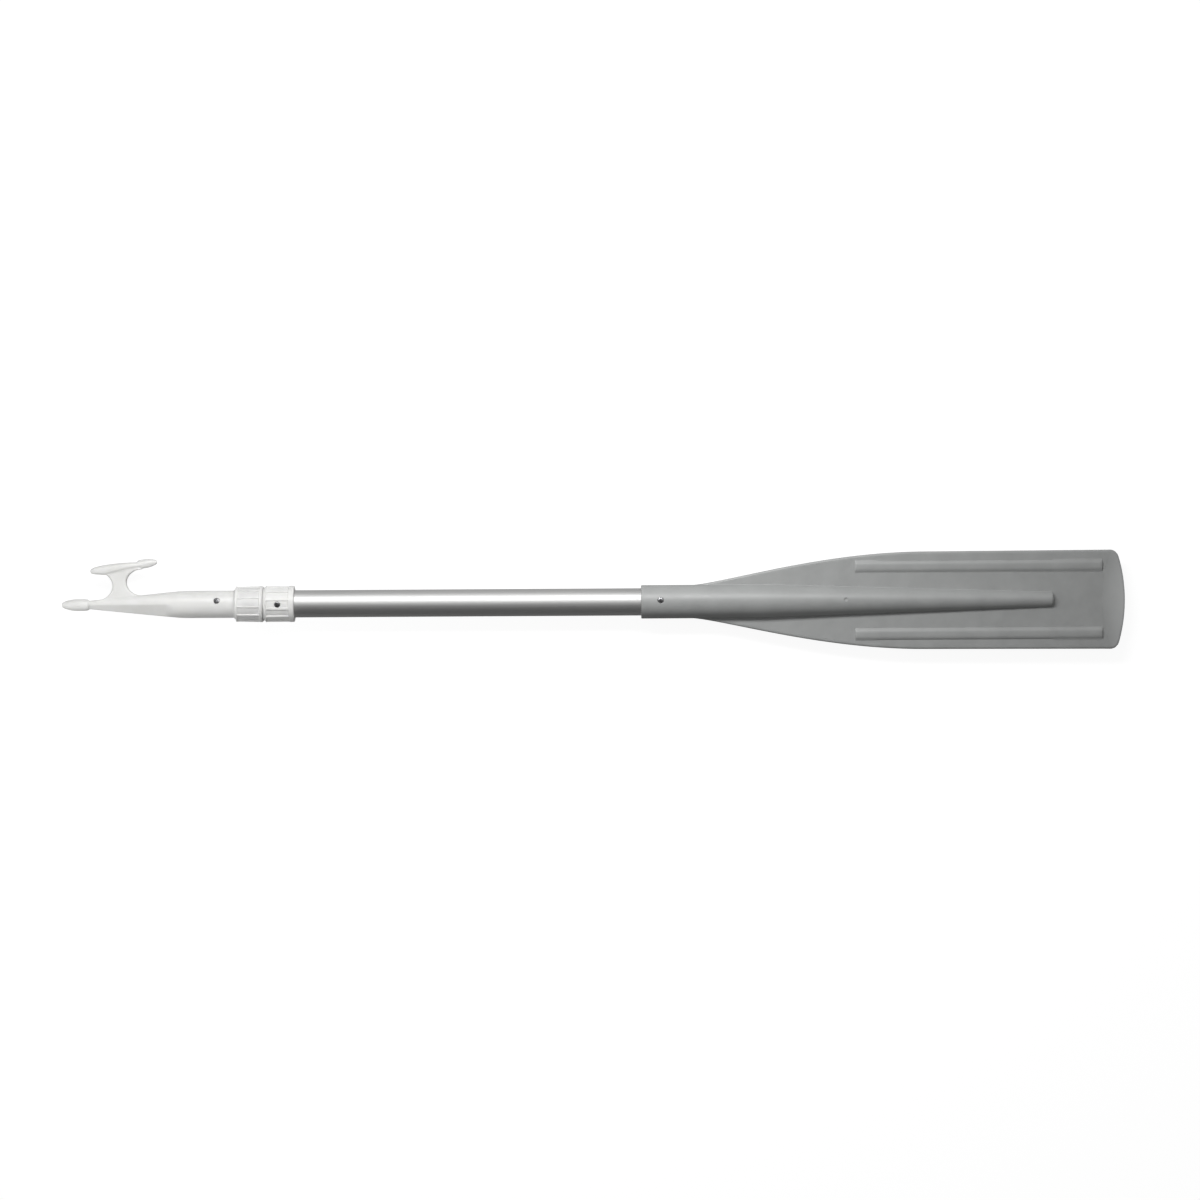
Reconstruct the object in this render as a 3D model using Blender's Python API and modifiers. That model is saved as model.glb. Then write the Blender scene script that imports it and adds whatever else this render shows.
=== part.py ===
"""Telescopic oar with a boat hook at its far end.

An outer aluminium tube carries a plastic blade, and an inner tube that slides and turns in it
carries a double boat hook. A screw-down clamp with a split collet holds the inner tube.

Lengths are in metres. The oar lies closed along X, hook at -X and blade at +X. The blade is
flat in the XY plane, the horn of the hook points to +Y, and the lowest point is at z = 0.
Shapes are modelled about the shaft's axis, and an empty lifts them to its height.
"""

import math

import bmesh
import bpy
from mathutils import Matrix, Vector
from mathutils.geometry import interpolate_bezier

# Overall sizes
CLOSED_LENGTH = 1.170
BLADE_LENGTH = 0.5325
HOOK_LENGTH = 0.1934
NUT_LENGTH = 0.0317
COLLAR_LENGTH = 0.0318

# Fits
GAP = 0.0003
RUNNING_GAP = 0.0004
PAST = 0.0010

# Tubes
OUTER_TUBE_R = 0.0150
OUTER_TUBE_WALL = 0.0015
INNER_TUBE_R = 0.0125
INNER_TUBE_WALL = 0.00125

# Hook head: tip knob, tapered shank, round socket, web with two throats, horn with a knob
HOOK_SOCKET_WALL = 0.0022
HOOK_SOCKET_DRAFT = 0.0005
HOOK_SOCKET_LENGTH = 0.0654
HOOK_BORE_DEPTH = 0.055
SHANK_TIP_R = 0.0043
SHANK_TIP_W = 0.0036
SHANK_BACK_W = 0.0095
SHANK_START = 0.026
SHANK_BLEND = 0.016
SHANK_TOP_POWER = 4.0
SHANK_KEEL_POWER = 1.4
ROUND_POWER = 2.0
KNOB_LENGTH = 0.0295
KNOB_R = 0.0066
# Shape of a knob, from its tip: shares of its length and of its radius
KNOB_SHAPE = (
    (0.00, 0.38),
    (0.11, 0.62),
    (0.28, 0.86),
    (0.48, 0.98),
    (0.66, 1.00),
    (0.86, 0.95),
    (0.97, 0.88),
)
WEB_THICKNESS = 0.0090
WEB_EDGE_R = 0.0020
THROAT_R = 0.0141
LEFT_THROAT = Vector((0.0425, 0.0193))
RIGHT_THROAT = Vector((0.0855, 0.0235))
LEFT_THROAT_TOP = 60
RIGHT_THROAT_TOP = 132
WEB_INTO_HORN_LEFT = 0.0050
WEB_INTO_HORN_RIGHT = 0.0115
HORN_KNOB_LENGTH = 0.0215
HORN_KNOB_R = 0.0052
HORN_KNOB_START = Vector((0.0837, 0.0440))
HORN_KNOB_TILT = math.radians(8.5)
HORN_TOP_POWER = 2.4
HORN_BOTTOM_POWER = 2.2
# Horn stations: distance from the hook's tip, height above the axis, half height, half width
HORN_STATIONS = (
    (0.0308, 0.0369, 0.0010, 0.0022),
    (0.0325, 0.0370, 0.0022, 0.0042),
    (0.0375, 0.0376, 0.0036, 0.0060),
    (0.0470, 0.0388, 0.0053, 0.0072),
    (0.0560, 0.0404, 0.0048, 0.0074),
    (0.0690, 0.0422, 0.0036, 0.0070),
    (0.0860, 0.0440, 0.0031, 0.0052),
)

# Clamp: nut and collar with ribs, threaded neck, collet and washer
NUT_WALL = 0.0022
NUT_DRAFT = 0.00065
NUT_LIP_WALL = 0.0006
NUT_LIP_LENGTH = 0.0018
NUT_FRONT_EDGE = 0.0005
NUT_MOUTH_DEPTH = 0.0060
NUT_FACE = 0.0025
NUT_TO_COLLAR = 0.0026
HOOK_IN_NUT = 0.0035
RIB_COUNT = 12
RIB_HEIGHT = 0.0010
GROOVE_WIDTH = 0.0050
GROOVE_TURN_NUT = math.radians(10.0)
GROOVE_TURN_COLLAR = math.radians(1.5)
NUT_GROOVE_START = 0.0054
NUT_RIM = 0.0035
COLLAR_GROOVE_START = 0.0014
COLLAR_RIM = 0.0056
COLLAR_EDGE_R = 0.0012
COLLAR_FACE = 0.0022
NECK_WALL = 0.0013
THREAD_ROOM = 0.0011
THREAD_PITCH = 0.0040
THREAD_RIDGE_R = 0.00085
THREAD_RIDGE_SINK = 0.0001
COLLET_LENGTH = 0.0120
COLLET_FRONT_WALL = 0.0022
COLLET_BACK_WALL = 0.0012
COLLET_FLANGE = 0.0015
COLLET_FLANGE_RISE = 0.0012
COLLET_SLOT = 0.0020
COLLET_ROOM = 0.0005
WASHER_THICKNESS = 0.0010
WASHER_PAST_FLANGE = 0.0001

# Blade: round socket and tapered shaft, flat web, a low bar on each side of the shaft
SOCKET_WALL = 0.0031
SOCKET_DEPTH = 0.1825
SOCKET_EDGE_R = 0.0008
SHAFT_TAPER_START = 0.1305
SHAFT_END_TO_TIP = 0.0790
SHAFT_END_R = 0.0083
SHAFT_END_EDGE_R = 0.0025
SHAFT_WALL = 0.0026
CORE_END = 0.026
BLADE_THICKNESS = 0.0036
BLADE_EDGE_R = 0.0012
FLARE_START = 0.0505
FLARE_INSIDE_SOCKET = 0.0004
FLARE_START_PULL = 0.0350
FLARE_END = 0.3126
FLARE_END_Y = 0.0537
FLARE_END_PULL = 0.1200
BLADE_TIP_Y = 0.0546
BLADE_CORNER_R = 0.0100
BLADE_TIP_ARC_R = 0.170
LIP_LENGTH = 0.0230
LIP_THICKNESS = 0.0020
BAR_Y = 0.0373
BAR_WIDTH = 0.0125
BAR_RISE = 0.0013
BAR_SINK = 0.0002
BAR_START = 0.2352
BAR_END_TO_TIP = 0.0245
BAR_END_SLOPE = 0.0010
PLUG_LENGTH = 0.0150
PLUG_WALL = 0.0020
PLUG_FLANGE = 0.0020

# Tail of the inner tube: plug, guide bush with its friction ring, washer and screw
TAIL_ROOM = 0.0125
TAIL_PLUG_LENGTH = 0.020
TAIL_FLANGE = 0.0020
TAIL_FLANGE_INSET = 0.0001
STUB_R = 0.0080
BUSH_LENGTH = 0.024
RING_WIRE_R = 0.00105
RING_GAP = 0.00025
RING_ROOM = 0.00035
RING_SIDE_ROOM = 0.00065
TAIL_WASHER_R = 0.0105
TAIL_WASHER_THICKNESS = 0.0010
TAIL_SCREW_HEAD_R = 0.0048
TAIL_SCREW_HEAD = 0.0028
TAIL_SCREW_R = 0.0022
TAIL_SCREW_LENGTH = 0.018
SEAL_LENGTH = 0.020
SEAL_DISTANCE = 0.048
SEAL_EDGE = 0.0010

# Self-tapping screws: distance from a datum of the piece, and turn from +Z towards +Y
SCREW_HEAD_R = 0.0032
SCREW_SHANK_R = 0.0017
SCREW_DOME = 0.0006
SCREW_SUNK = 0.0004
SCREW_SLOT = 0.0009
SCREW_SLOT_LENGTH = 0.0036
SCREW_SLOT_DEPTH = 0.0014
HOOK_SCREW_FROM_END = 0.0219
HOOK_SCREW_TURN = math.radians(15.0)
HOOK_SCREW_TIP_R = 0.0070
COLLAR_SCREW_FROM_FRONT = 0.0141
COLLAR_SCREW_TURN = math.radians(-2.5)
BLADE_SCREW_FROM_MOUTH = 0.0213
BLADE_SCREW_TURN = math.radians(5.0)
TUBE_SCREW_TIP = 0.0002

# Fineness
ROUND = 36
FINE_ROUND = 48
SMALL_ROUND = 18
SHANK_ROUND = 32
HORN_ROUND = 20
BAR_POINTS = 10
THREAD_POINTS = 24
MERGE = 0.00001
SHARP = math.radians(35.0)

# Stations along X, worked out from the sizes above
BLADE_TIP_X = CLOSED_LENGTH / 2
HOOK_TIP_X = -CLOSED_LENGTH / 2
MOUTH_X = BLADE_TIP_X - BLADE_LENGTH
OUTER_TUBE_REAR_X = MOUTH_X + SOCKET_DEPTH
HOOK_END_X = HOOK_TIP_X + HOOK_LENGTH
NUT_FRONT_X = HOOK_END_X - HOOK_IN_NUT
NUT_REAR_X = NUT_FRONT_X + NUT_LENGTH
COLLAR_FRONT_X = NUT_REAR_X + NUT_TO_COLLAR
COLLAR_REAR_X = COLLAR_FRONT_X + COLLAR_LENGTH
OUTER_TUBE_FRONT_X = COLLAR_FRONT_X + COLLAR_FACE
NUT_FACE_X = NUT_FRONT_X + NUT_MOUTH_DEPTH + NUT_FACE
WASHER_X = NUT_FACE_X + GAP
COLLET_X = WASHER_X + WASHER_THICKNESS + GAP
NECK_FRONT_X = COLLET_X + COLLET_FLANGE + GAP
NECK_LENGTH = COLLAR_FRONT_X - NECK_FRONT_X
INNER_TUBE_FRONT_X = HOOK_END_X - HOOK_BORE_DEPTH + GAP
PLUG_FRONT_X = OUTER_TUBE_REAR_X - PLUG_LENGTH
TAIL_SCREW_END_X = PLUG_FRONT_X - TAIL_ROOM
TAIL_WASHER_X = TAIL_SCREW_END_X - TAIL_SCREW_HEAD - GAP - TAIL_WASHER_THICKNESS
BUSH_X = TAIL_WASHER_X - GAP - BUSH_LENGTH
INNER_TUBE_REAR_X = BUSH_X - GAP - TAIL_FLANGE - GAP

NECK_THREAD_TURNS = int(NECK_LENGTH / THREAD_PITCH) - 1
NUT_THREAD_TURNS = NECK_THREAD_TURNS - 1

# Lengths of what runs along the blade
SHAFT_LENGTH = BLADE_LENGTH - SHAFT_END_TO_TIP
BAR_LENGTH = BLADE_LENGTH - BAR_END_TO_TIP - BAR_START

# Radii worked out from the sizes above
OUTER_TUBE_BORE_R = OUTER_TUBE_R - OUTER_TUBE_WALL
INNER_TUBE_BORE_R = INNER_TUBE_R - INNER_TUBE_WALL
SLIDE_R = INNER_TUBE_R + RUNNING_GAP
HOOK_SOCKET_R = INNER_TUBE_R + GAP + HOOK_SOCKET_WALL
HOOK_SOCKET_FRONT_R = HOOK_SOCKET_R - HOOK_SOCKET_DRAFT
NUT_MOUTH_R = HOOK_SOCKET_R + RUNNING_GAP
NUT_LIP_R = NUT_MOUTH_R + NUT_LIP_WALL
COLLET_FRONT_R = INNER_TUBE_R + GAP + COLLET_FRONT_WALL
COLLET_BACK_R = INNER_TUBE_R + GAP + COLLET_BACK_WALL
COLLET_FLANGE_R = COLLET_FRONT_R + COLLET_FLANGE_RISE
WASHER_R = COLLET_FLANGE_R + WASHER_PAST_FLANGE
NECK_R = COLLET_FRONT_R + GAP + NECK_WALL
NUT_BORE_R = NECK_R + THREAD_ROOM
COLLAR_R = NUT_BORE_R + NUT_WALL
NUT_FRONT_R = COLLAR_R - NUT_DRAFT
SOCKET_R = OUTER_TUBE_R + GAP + SOCKET_WALL
FLARE_START_Y = SOCKET_R - FLARE_INSIDE_SOCKET
TAIL_FLANGE_R = INNER_TUBE_R - TAIL_FLANGE_INSET
RING_R = OUTER_TUBE_BORE_R - RING_GAP - RING_WIRE_R
BUSH_GROOVE_R = RING_R - RING_WIRE_R - RING_ROOM
BUSH_GROOVE_WIDTH = 2 * (RING_WIRE_R + RING_SIDE_ROOM)
AXIS_HEIGHT = COLLAR_R

WHITE_NYLON = ("white_nylon", (0.84, 0.84, 0.82), 0.45, 0.0)
GREY_PLASTIC = ("grey_plastic", (0.30, 0.31, 0.305), 0.5, 0.0)
ALUMINIUM = ("satin_aluminium", (0.80, 0.80, 0.79), 0.3, 1.0)
STEEL = ("stainless_steel", (0.55, 0.55, 0.56), 0.3, 1.0)
ACETAL = ("natural_acetal", (0.86, 0.85, 0.80), 0.4, 0.0)
RUBBER = ("black_rubber", (0.03, 0.03, 0.03), 0.7, 0.0)
FOAM = ("closed_cell_foam", (0.75, 0.74, 0.70), 0.9, 0.0)


def clear_scene():
    for obj in list(bpy.data.objects):
        bpy.data.objects.remove(obj, do_unlink=True)


def new_collection(name):
    collection = bpy.data.collections.new(name)
    bpy.context.scene.collection.children.link(collection)
    return collection


def new_object(name, mesh):
    obj = bpy.data.objects.new(name, mesh)
    cutters.objects.link(obj)
    return obj


def evaluated_mesh(obj):
    """The object's mesh as its modifiers leave it, with the object itself removed."""
    bpy.context.view_layer.update()
    graph = bpy.context.evaluated_depsgraph_get()
    mesh = bpy.data.meshes.new_from_object(obj.evaluated_get(graph))
    bpy.data.objects.remove(obj, do_unlink=True)
    return mesh


def shade(mesh):
    mesh.shade_smooth()
    mesh.set_sharp_from_angle(angle=SHARP)
    return mesh


def turned(name, profile, along="X", steps=ROUND):
    """A body of revolution from (station, radius) points along the shaft's axis or along Z.

    The profile is a closed loop, or it starts and ends on the axis.
    """
    points = list(profile)
    pairs = zip(points, points[1:] + points[:1])
    area = sum(r0 * s1 - r1 * s0 for (s0, r0), (s1, r1) in pairs)
    if area > 0:
        points.reverse()
    mesh = bpy.data.meshes.new(name)
    edges = [(i, i + 1) for i in range(len(points) - 1)]
    if points[0][1] > 0 or points[-1][1] > 0:
        edges.append((len(points) - 1, 0))
    mesh.from_pydata([(r, 0.0, s) for s, r in points], edges, [])
    obj = new_object(name, mesh)
    screw = obj.modifiers.new("turn", "SCREW")
    screw.axis = "Z"
    screw.steps = steps
    screw.render_steps = steps
    screw.use_merge_vertices = True
    screw.merge_threshold = MERGE
    mesh = evaluated_mesh(obj)
    if along == "X":
        mesh.transform(Matrix.Rotation(math.pi / 2, 4, "Y"))
    return new_object(name, shade(mesh))


def tube(name, front, rear, outer_r, inner_r, steps=ROUND):
    corners = ((front, outer_r), (rear, outer_r), (rear, inner_r), (front, inner_r))
    return turned(name, corners, steps=steps)


def welded_curve(name, curve):
    """A mesh object from a curve, with its caps welded to its sides."""
    mesh = evaluated_mesh(new_object(name, curve))
    body = bmesh.new()
    body.from_mesh(mesh)
    bmesh.ops.remove_doubles(body, verts=body.verts, dist=MERGE)
    body.to_mesh(mesh)
    body.free()
    return new_object(name, shade(mesh))


def flat_plate(name, outline, thickness, edge_r=0.0):
    """A flat outline of (x, y) points, as thick as given, with rounded edges."""
    curve = bpy.data.curves.new(name, "CURVE")
    curve.dimensions = "2D"
    curve.fill_mode = "BOTH"
    curve.extrude = thickness / 2 - edge_r
    curve.bevel_depth = edge_r
    curve.bevel_resolution = 1
    curve.offset = -edge_r
    spline = curve.splines.new("POLY")
    spline.points.add(len(outline) - 1)
    for point, (x, y) in zip(spline.points, outline):
        point.co = (x, y, 0.0, 1.0)
    spline.use_cyclic_u = True
    return welded_curve(name, curve)


def helix(name, start_x, radius, turns):
    """A round right-handed thread ridge along +X."""
    curve = bpy.data.curves.new(name, "CURVE")
    curve.dimensions = "3D"
    curve.bevel_depth = THREAD_RIDGE_R
    curve.bevel_resolution = 1
    curve.use_fill_caps = True
    spline = curve.splines.new("POLY")
    spline.points.add(turns * THREAD_POINTS)
    for i, point in enumerate(spline.points):
        turn = i / THREAD_POINTS
        angle = math.tau * turn
        x = start_x + THREAD_PITCH * turn
        point.co = (x, radius * math.cos(angle), radius * math.sin(angle), 1.0)
    return welded_curve(name, curve)


def lofted(name, rings):
    """A closed skin over rings of points, each ring as long as the next."""
    body = bmesh.new()
    loops = [[body.verts.new(point) for point in ring] for ring in rings]
    count = len(loops[0])
    for near, far in zip(loops, loops[1:]):
        for i in range(count):
            j = (i + 1) % count
            body.faces.new((near[i], near[j], far[j], far[i]))
    body.faces.new(loops[0])
    body.faces.new(loops[-1])
    bmesh.ops.recalc_face_normals(body, faces=body.faces)
    mesh = bpy.data.meshes.new(name)
    body.to_mesh(mesh)
    body.free()
    return new_object(name, shade(mesh))


def boxes(name, length, width, height, places):
    """One cutter of several boxes, each put in its place by a matrix."""
    body = bmesh.new()
    size = Matrix.Diagonal((length, width, height, 1.0))
    for place in places:
        bmesh.ops.create_cube(body, size=1.0, matrix=place @ size)
    mesh = bpy.data.meshes.new(name)
    body.to_mesh(mesh)
    body.free()
    return new_object(name, mesh)


def combine(obj, other, operation):
    boolean = obj.modifiers.new(other.name, "BOOLEAN")
    boolean.operation = operation
    boolean.solver = "EXACT"
    boolean.object = other
    other.hide_render = True
    other.display_type = "WIRE"


def join(obj, *others):
    for other in others:
        combine(obj, other, "UNION")


def cut(obj, *others):
    for other in others:
        combine(obj, other, "DIFFERENCE")


def hang(obj, parent):
    obj.parent = parent
    obj.matrix_parent_inverse = Matrix.Translation((-parent["station"], 0.0, 0.0))


def finish(obj, finish_of_piece, parent):
    """Makes the object a piece of the oar, with its material, under a joint's empty."""
    name, colour, roughness, metallic = finish_of_piece
    material = bpy.data.materials.new(obj.name + "_" + name)
    material.use_nodes = True
    shader = material.node_tree.nodes["Principled BSDF"]
    shader.inputs["Base Color"].default_value = (*colour, 1.0)
    shader.inputs["Roughness"].default_value = roughness
    shader.inputs["Metallic"].default_value = metallic
    material.diffuse_color = (*colour, 1.0)
    obj.data.materials.clear()
    obj.data.materials.append(material)
    cutters.objects.unlink(obj)
    pieces.objects.link(obj)
    hang(obj, parent)
    for boolean in obj.modifiers:
        hang(boolean.object, parent)


def joint_empty(name, station, parent):
    """An empty on the shaft's axis, where a moving body is held."""
    empty = bpy.data.objects.new(name, None)
    empty.empty_display_size = 0.02
    empty["station"] = station
    pieces.objects.link(empty)
    if parent is None:
        empty.location = (station, 0.0, AXIS_HEIGHT)
    else:
        empty.parent = parent
        empty.location = (station - parent["station"], 0.0, 0.0)
    return empty


def blend(start, end, share):
    return start + (end - start) * share


def smooth_step(value, low, high):
    share = min(max((value - low) / (high - low), 0.0), 1.0)
    return share * share * (3.0 - 2.0 * share)


def power_ring(x, centre_y, half_height, half_width, top, bottom, count=SHANK_ROUND):
    """A ring across the shaft: a superellipse whose power differs above and below."""
    ring = []
    for i in range(count):
        angle = math.tau * i / count
        side, rise = math.cos(angle), math.sin(angle)
        power = 2.0 / (top if rise >= 0 else bottom)
        y = centre_y + half_height * math.copysign(abs(rise) ** power, rise)
        z = half_width * math.copysign(abs(side) ** power, side)
        ring.append((x, y, z))
    return ring


def arc(centre, radius, start, end, count):
    """Points on a circle, from one angle in degrees to another."""
    points = []
    for i in range(count + 1):
        angle = math.radians(blend(start, end, i / count))
        points.append((centre[0] + radius * math.cos(angle), centre[1] + radius * math.sin(angle)))
    return points


def run_on(point, heading, length):
    """The point that lies a length away, in a direction given in degrees."""
    angle = math.radians(heading)
    return (point[0] + length * math.cos(angle), point[1] + length * math.sin(angle))


def radial(x, turn):
    """The frame of a piece driven in across the shaft, with its Z outwards from the axis."""
    return Matrix.Translation((x, 0.0, 0.0)) @ Matrix.Rotation(-turn, 4, "X")


def place(obj, matrix):
    obj.data.transform(matrix)
    return obj


def tapping_screw(name, x, turn, surface_r, tip_r):
    """A raised countersunk screw with a cross recess. Its stations are radii of the shaft."""
    rim = surface_r - SCREW_SUNK
    neck = rim - (SCREW_HEAD_R - SCREW_SHANK_R)
    point = min(SCREW_SHANK_R, (neck - tip_r) / 2)
    profile = (
        (rim + SCREW_DOME, 0.0),
        (rim + SCREW_DOME * 0.75, SCREW_HEAD_R / 2),
        (rim, SCREW_HEAD_R),
        (neck, SCREW_SHANK_R),
        (tip_r + point, SCREW_SHANK_R),
        (tip_r, SCREW_SHANK_R * 0.4),
        (tip_r, 0.0),
    )
    screw = turned(name, profile, along="Z", steps=SMALL_ROUND)
    half, arm = SCREW_SLOT / 2, SCREW_SLOT_LENGTH / 2
    cross = []
    for quarter in range(4):
        turned_by = Matrix.Rotation(quarter * math.pi / 2, 2)
        cross += [turned_by @ Vector(corner) for corner in ((arm, -half), (arm, half), (half, half))]
    recess = flat_plate(name + "_recess", cross, 2 * SCREW_SLOT_DEPTH)
    place(recess, Matrix.Translation((0.0, 0.0, rim + SCREW_DOME)))
    for shape in (screw, recess):
        place(shape, radial(x, turn))
    cut(screw, recess)
    return screw


def screw_pocket(name, x, turn, surface_r, through_r):
    """The countersunk hole for a tapping screw, through to the radius given."""
    rim = surface_r - SCREW_SUNK
    neck = rim - (SCREW_HEAD_R - SCREW_SHANK_R)
    profile = (
        (surface_r + SCREW_HEAD_R, 0.0),
        (surface_r + SCREW_HEAD_R, SCREW_HEAD_R + GAP),
        (rim, SCREW_HEAD_R + GAP),
        (neck, SCREW_SHANK_R + GAP),
        (through_r, SCREW_SHANK_R + GAP),
        (through_r, 0.0),
    )
    pocket = turned(name, profile, along="Z", steps=SMALL_ROUND)
    return place(pocket, radial(x, turn))


def grooves(name, front, rear, root_r, first_turn):
    """The gaps between the ribs of a grip ring, as one cutter."""
    height = 3 * RIB_HEIGHT
    middle = (front + rear) / 2
    places = []
    for i in range(RIB_COUNT):
        turn = first_turn + math.tau * i / RIB_COUNT
        places.append(radial(middle, turn) @ Matrix.Translation((0.0, 0.0, root_r + height / 2)))
    return boxes(name, rear - front, GROOVE_WIDTH, height, places)


def make_outer_tube():
    front, rear = OUTER_TUBE_FRONT_X, OUTER_TUBE_REAR_X
    piece = tube("outer_tube", front, rear, OUTER_TUBE_R, OUTER_TUBE_BORE_R)
    cut(piece, collar_pocket, blade_pocket)
    return piece


def make_inner_tube():
    front, rear = INNER_TUBE_FRONT_X, INNER_TUBE_REAR_X
    piece = tube("inner_tube", front, rear, INNER_TUBE_R, INNER_TUBE_BORE_R)
    cut(piece, hook_pocket)
    return piece


def shaft_radius(x):
    """Outer radius of the blade's round shaft: straight, then a straight taper."""
    start = MOUTH_X + SHAFT_TAPER_START
    end = MOUTH_X + SHAFT_LENGTH
    share = min(max((x - start) / (end - start), 0.0), 1.0)
    return blend(SOCKET_R, SHAFT_END_R, share)


def blade_outline():
    """The web's edge as (x, y) points: an S-shaped flare, a near-straight edge and an arched tip."""
    flare = interpolate_bezier(
        (MOUTH_X + FLARE_START, FLARE_START_Y, 0.0),
        (MOUTH_X + FLARE_START + FLARE_START_PULL, FLARE_START_Y, 0.0),
        (MOUTH_X + FLARE_END - FLARE_END_PULL, FLARE_END_Y, 0.0),
        (MOUTH_X + FLARE_END, FLARE_END_Y, 0.0),
        18,
    )
    root = MOUTH_X + FLARE_START - FLARE_START_Y
    half = [(root, 0.0)] + [(point.x, point.y) for point in flare]
    arch_x = BLADE_TIP_X - BLADE_TIP_ARC_R
    corner_y = BLADE_TIP_Y - BLADE_CORNER_R
    reach = math.sqrt((BLADE_TIP_ARC_R - BLADE_CORNER_R) ** 2 - corner_y**2)
    corner = (arch_x + reach, corner_y)
    lean = math.degrees(math.atan2(corner_y, reach))
    half += arc(corner, BLADE_CORNER_R, 90.0, lean, 5)
    half += arc((arch_x, 0.0), BLADE_TIP_ARC_R, lean, 0.0, 5)[1:]
    mirrored = [(x, -y) for x, y in reversed(half[1:-1])]
    return half + mirrored


def lip_cutter(name, side):
    """A wedge that thins the web towards its tip, on one side of it."""
    drop = math.atan2((BLADE_THICKNESS - LIP_THICKNESS) / 2, LIP_LENGTH)
    length, width, height = 2 * LIP_LENGTH, 3 * BLADE_TIP_Y, BLADE_THICKNESS
    before = PAST
    hinge = Matrix.Translation((BLADE_TIP_X - LIP_LENGTH, 0.0, side * BLADE_THICKNESS / 2))
    turn = Matrix.Rotation(side * drop, 4, "Y")
    middle = Matrix.Translation((length / 2 - before, 0.0, side * height / 2))
    return boxes(name, length, width, height, [hinge @ turn @ middle])


def bar_ring(x, y, rise):
    """A lens across the blade, which stands proud of the web's two faces."""
    half = BAR_WIDTH / 2 + BAR_SINK
    top = []
    for i in range(BAR_POINTS + 1):
        across = blend(half, -half, i / BAR_POINTS)
        height = BLADE_THICKNESS / 2 + rise * (1.0 - (2 * across / BAR_WIDTH) ** 2)
        top.append((x, y + across, height))
    return top + [(x, side, -height) for x, side, height in reversed(top)]


def make_bar(name, y):
    """A low bar along the blade, which slopes down at its end towards the tip."""
    front = MOUTH_X + BAR_START
    rear = front + BAR_LENGTH
    rings = [bar_ring(front, y, BAR_RISE), bar_ring(rear - BAR_END_SLOPE, y, BAR_RISE)]
    rings.append(bar_ring(rear, y, BAR_RISE / 2))
    return lofted(name, rings)


def make_blade():
    end = MOUTH_X + SHAFT_LENGTH
    profile = [
        (MOUTH_X, 0.0),
        (MOUTH_X, SOCKET_R - SOCKET_EDGE_R),
        (MOUTH_X + SOCKET_EDGE_R, SOCKET_R),
        (MOUTH_X + SHAFT_TAPER_START, SOCKET_R),
    ]
    edge = SHAFT_END_EDGE_R
    profile += arc((end - edge, SHAFT_END_R - edge), edge, 90, 0, 3)
    profile.append((end, 0.0))
    piece = turned("blade", profile, steps=FINE_ROUND)
    web = flat_plate("blade_web", blade_outline(), BLADE_THICKNESS, BLADE_EDGE_R)
    join(piece, web)
    join(piece, make_bar("bar_upper", BAR_Y), make_bar("bar_lower", -BAR_Y))
    seat = OUTER_TUBE_REAR_X + PLUG_FLANGE + 2 * GAP
    core_end = end - CORE_END
    bore = turned(
        "blade_bore",
        (
            (MOUTH_X - PAST, 0.0),
            (MOUTH_X - PAST, OUTER_TUBE_R + GAP),
            (seat, OUTER_TUBE_R + GAP),
            (seat, shaft_radius(seat) - SHAFT_WALL),
            (core_end, shaft_radius(core_end) - SHAFT_WALL),
            (core_end, 0.0),
        ),
    )
    cut(piece, bore, blade_pocket, lip_cutter("lip_above", 1), lip_cutter("lip_below", -1))
    return piece


def make_outer_tube_plug():
    """A cup in the tube's blade end, which keeps water out of the tube."""
    rear = OUTER_TUBE_REAR_X + GAP + PLUG_FLANGE
    plug_r = OUTER_TUBE_BORE_R - GAP
    profile = (
        (PLUG_FRONT_X, 0.0),
        (PLUG_FRONT_X, plug_r),
        (OUTER_TUBE_REAR_X + GAP, plug_r),
        (OUTER_TUBE_REAR_X + GAP, OUTER_TUBE_R - GAP),
        (rear, OUTER_TUBE_R - GAP),
        (rear, plug_r - PLUG_WALL),
        (PLUG_FRONT_X + PLUG_WALL, plug_r - PLUG_WALL),
        (PLUG_FRONT_X + PLUG_WALL, 0.0),
    )
    return turned("outer_tube_plug", profile)


def make_clamp_collar():
    """The fixed grip ring, with a threaded neck that the collet is wedged into."""
    pocket_bottom = NECK_FRONT_X + COLLET_LENGTH + COLLET_ROOM
    edge = COLLAR_EDGE_R
    rounded = arc((COLLAR_REAR_X - edge, COLLAR_R - edge), edge, 90, 0, 3)
    profile = [
        (NECK_FRONT_X, COLLET_FRONT_R + GAP),
        (NECK_FRONT_X, NECK_R),
        (COLLAR_FRONT_X, NECK_R),
        (COLLAR_FRONT_X, COLLAR_R),
    ]
    profile += rounded
    profile += [
        (COLLAR_REAR_X, OUTER_TUBE_R + GAP),
        (OUTER_TUBE_FRONT_X - GAP, OUTER_TUBE_R + GAP),
        (OUTER_TUBE_FRONT_X - GAP, SLIDE_R),
        (pocket_bottom, SLIDE_R),
        (pocket_bottom, COLLET_BACK_R + GAP),
    ]
    piece = turned("clamp_collar", profile)
    ridge_r = NECK_R - THREAD_RIDGE_SINK
    thread_x = NECK_FRONT_X + THREAD_PITCH / 2
    join(piece, helix("neck_thread", thread_x, ridge_r, NECK_THREAD_TURNS))
    front = COLLAR_FRONT_X + COLLAR_GROOVE_START
    rear = COLLAR_REAR_X - COLLAR_RIM
    root = COLLAR_R - RIB_HEIGHT
    cut(piece, grooves("collar_grooves", front, rear, root, GROOVE_TURN_COLLAR))
    cut(piece, collar_pocket)
    return piece


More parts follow.
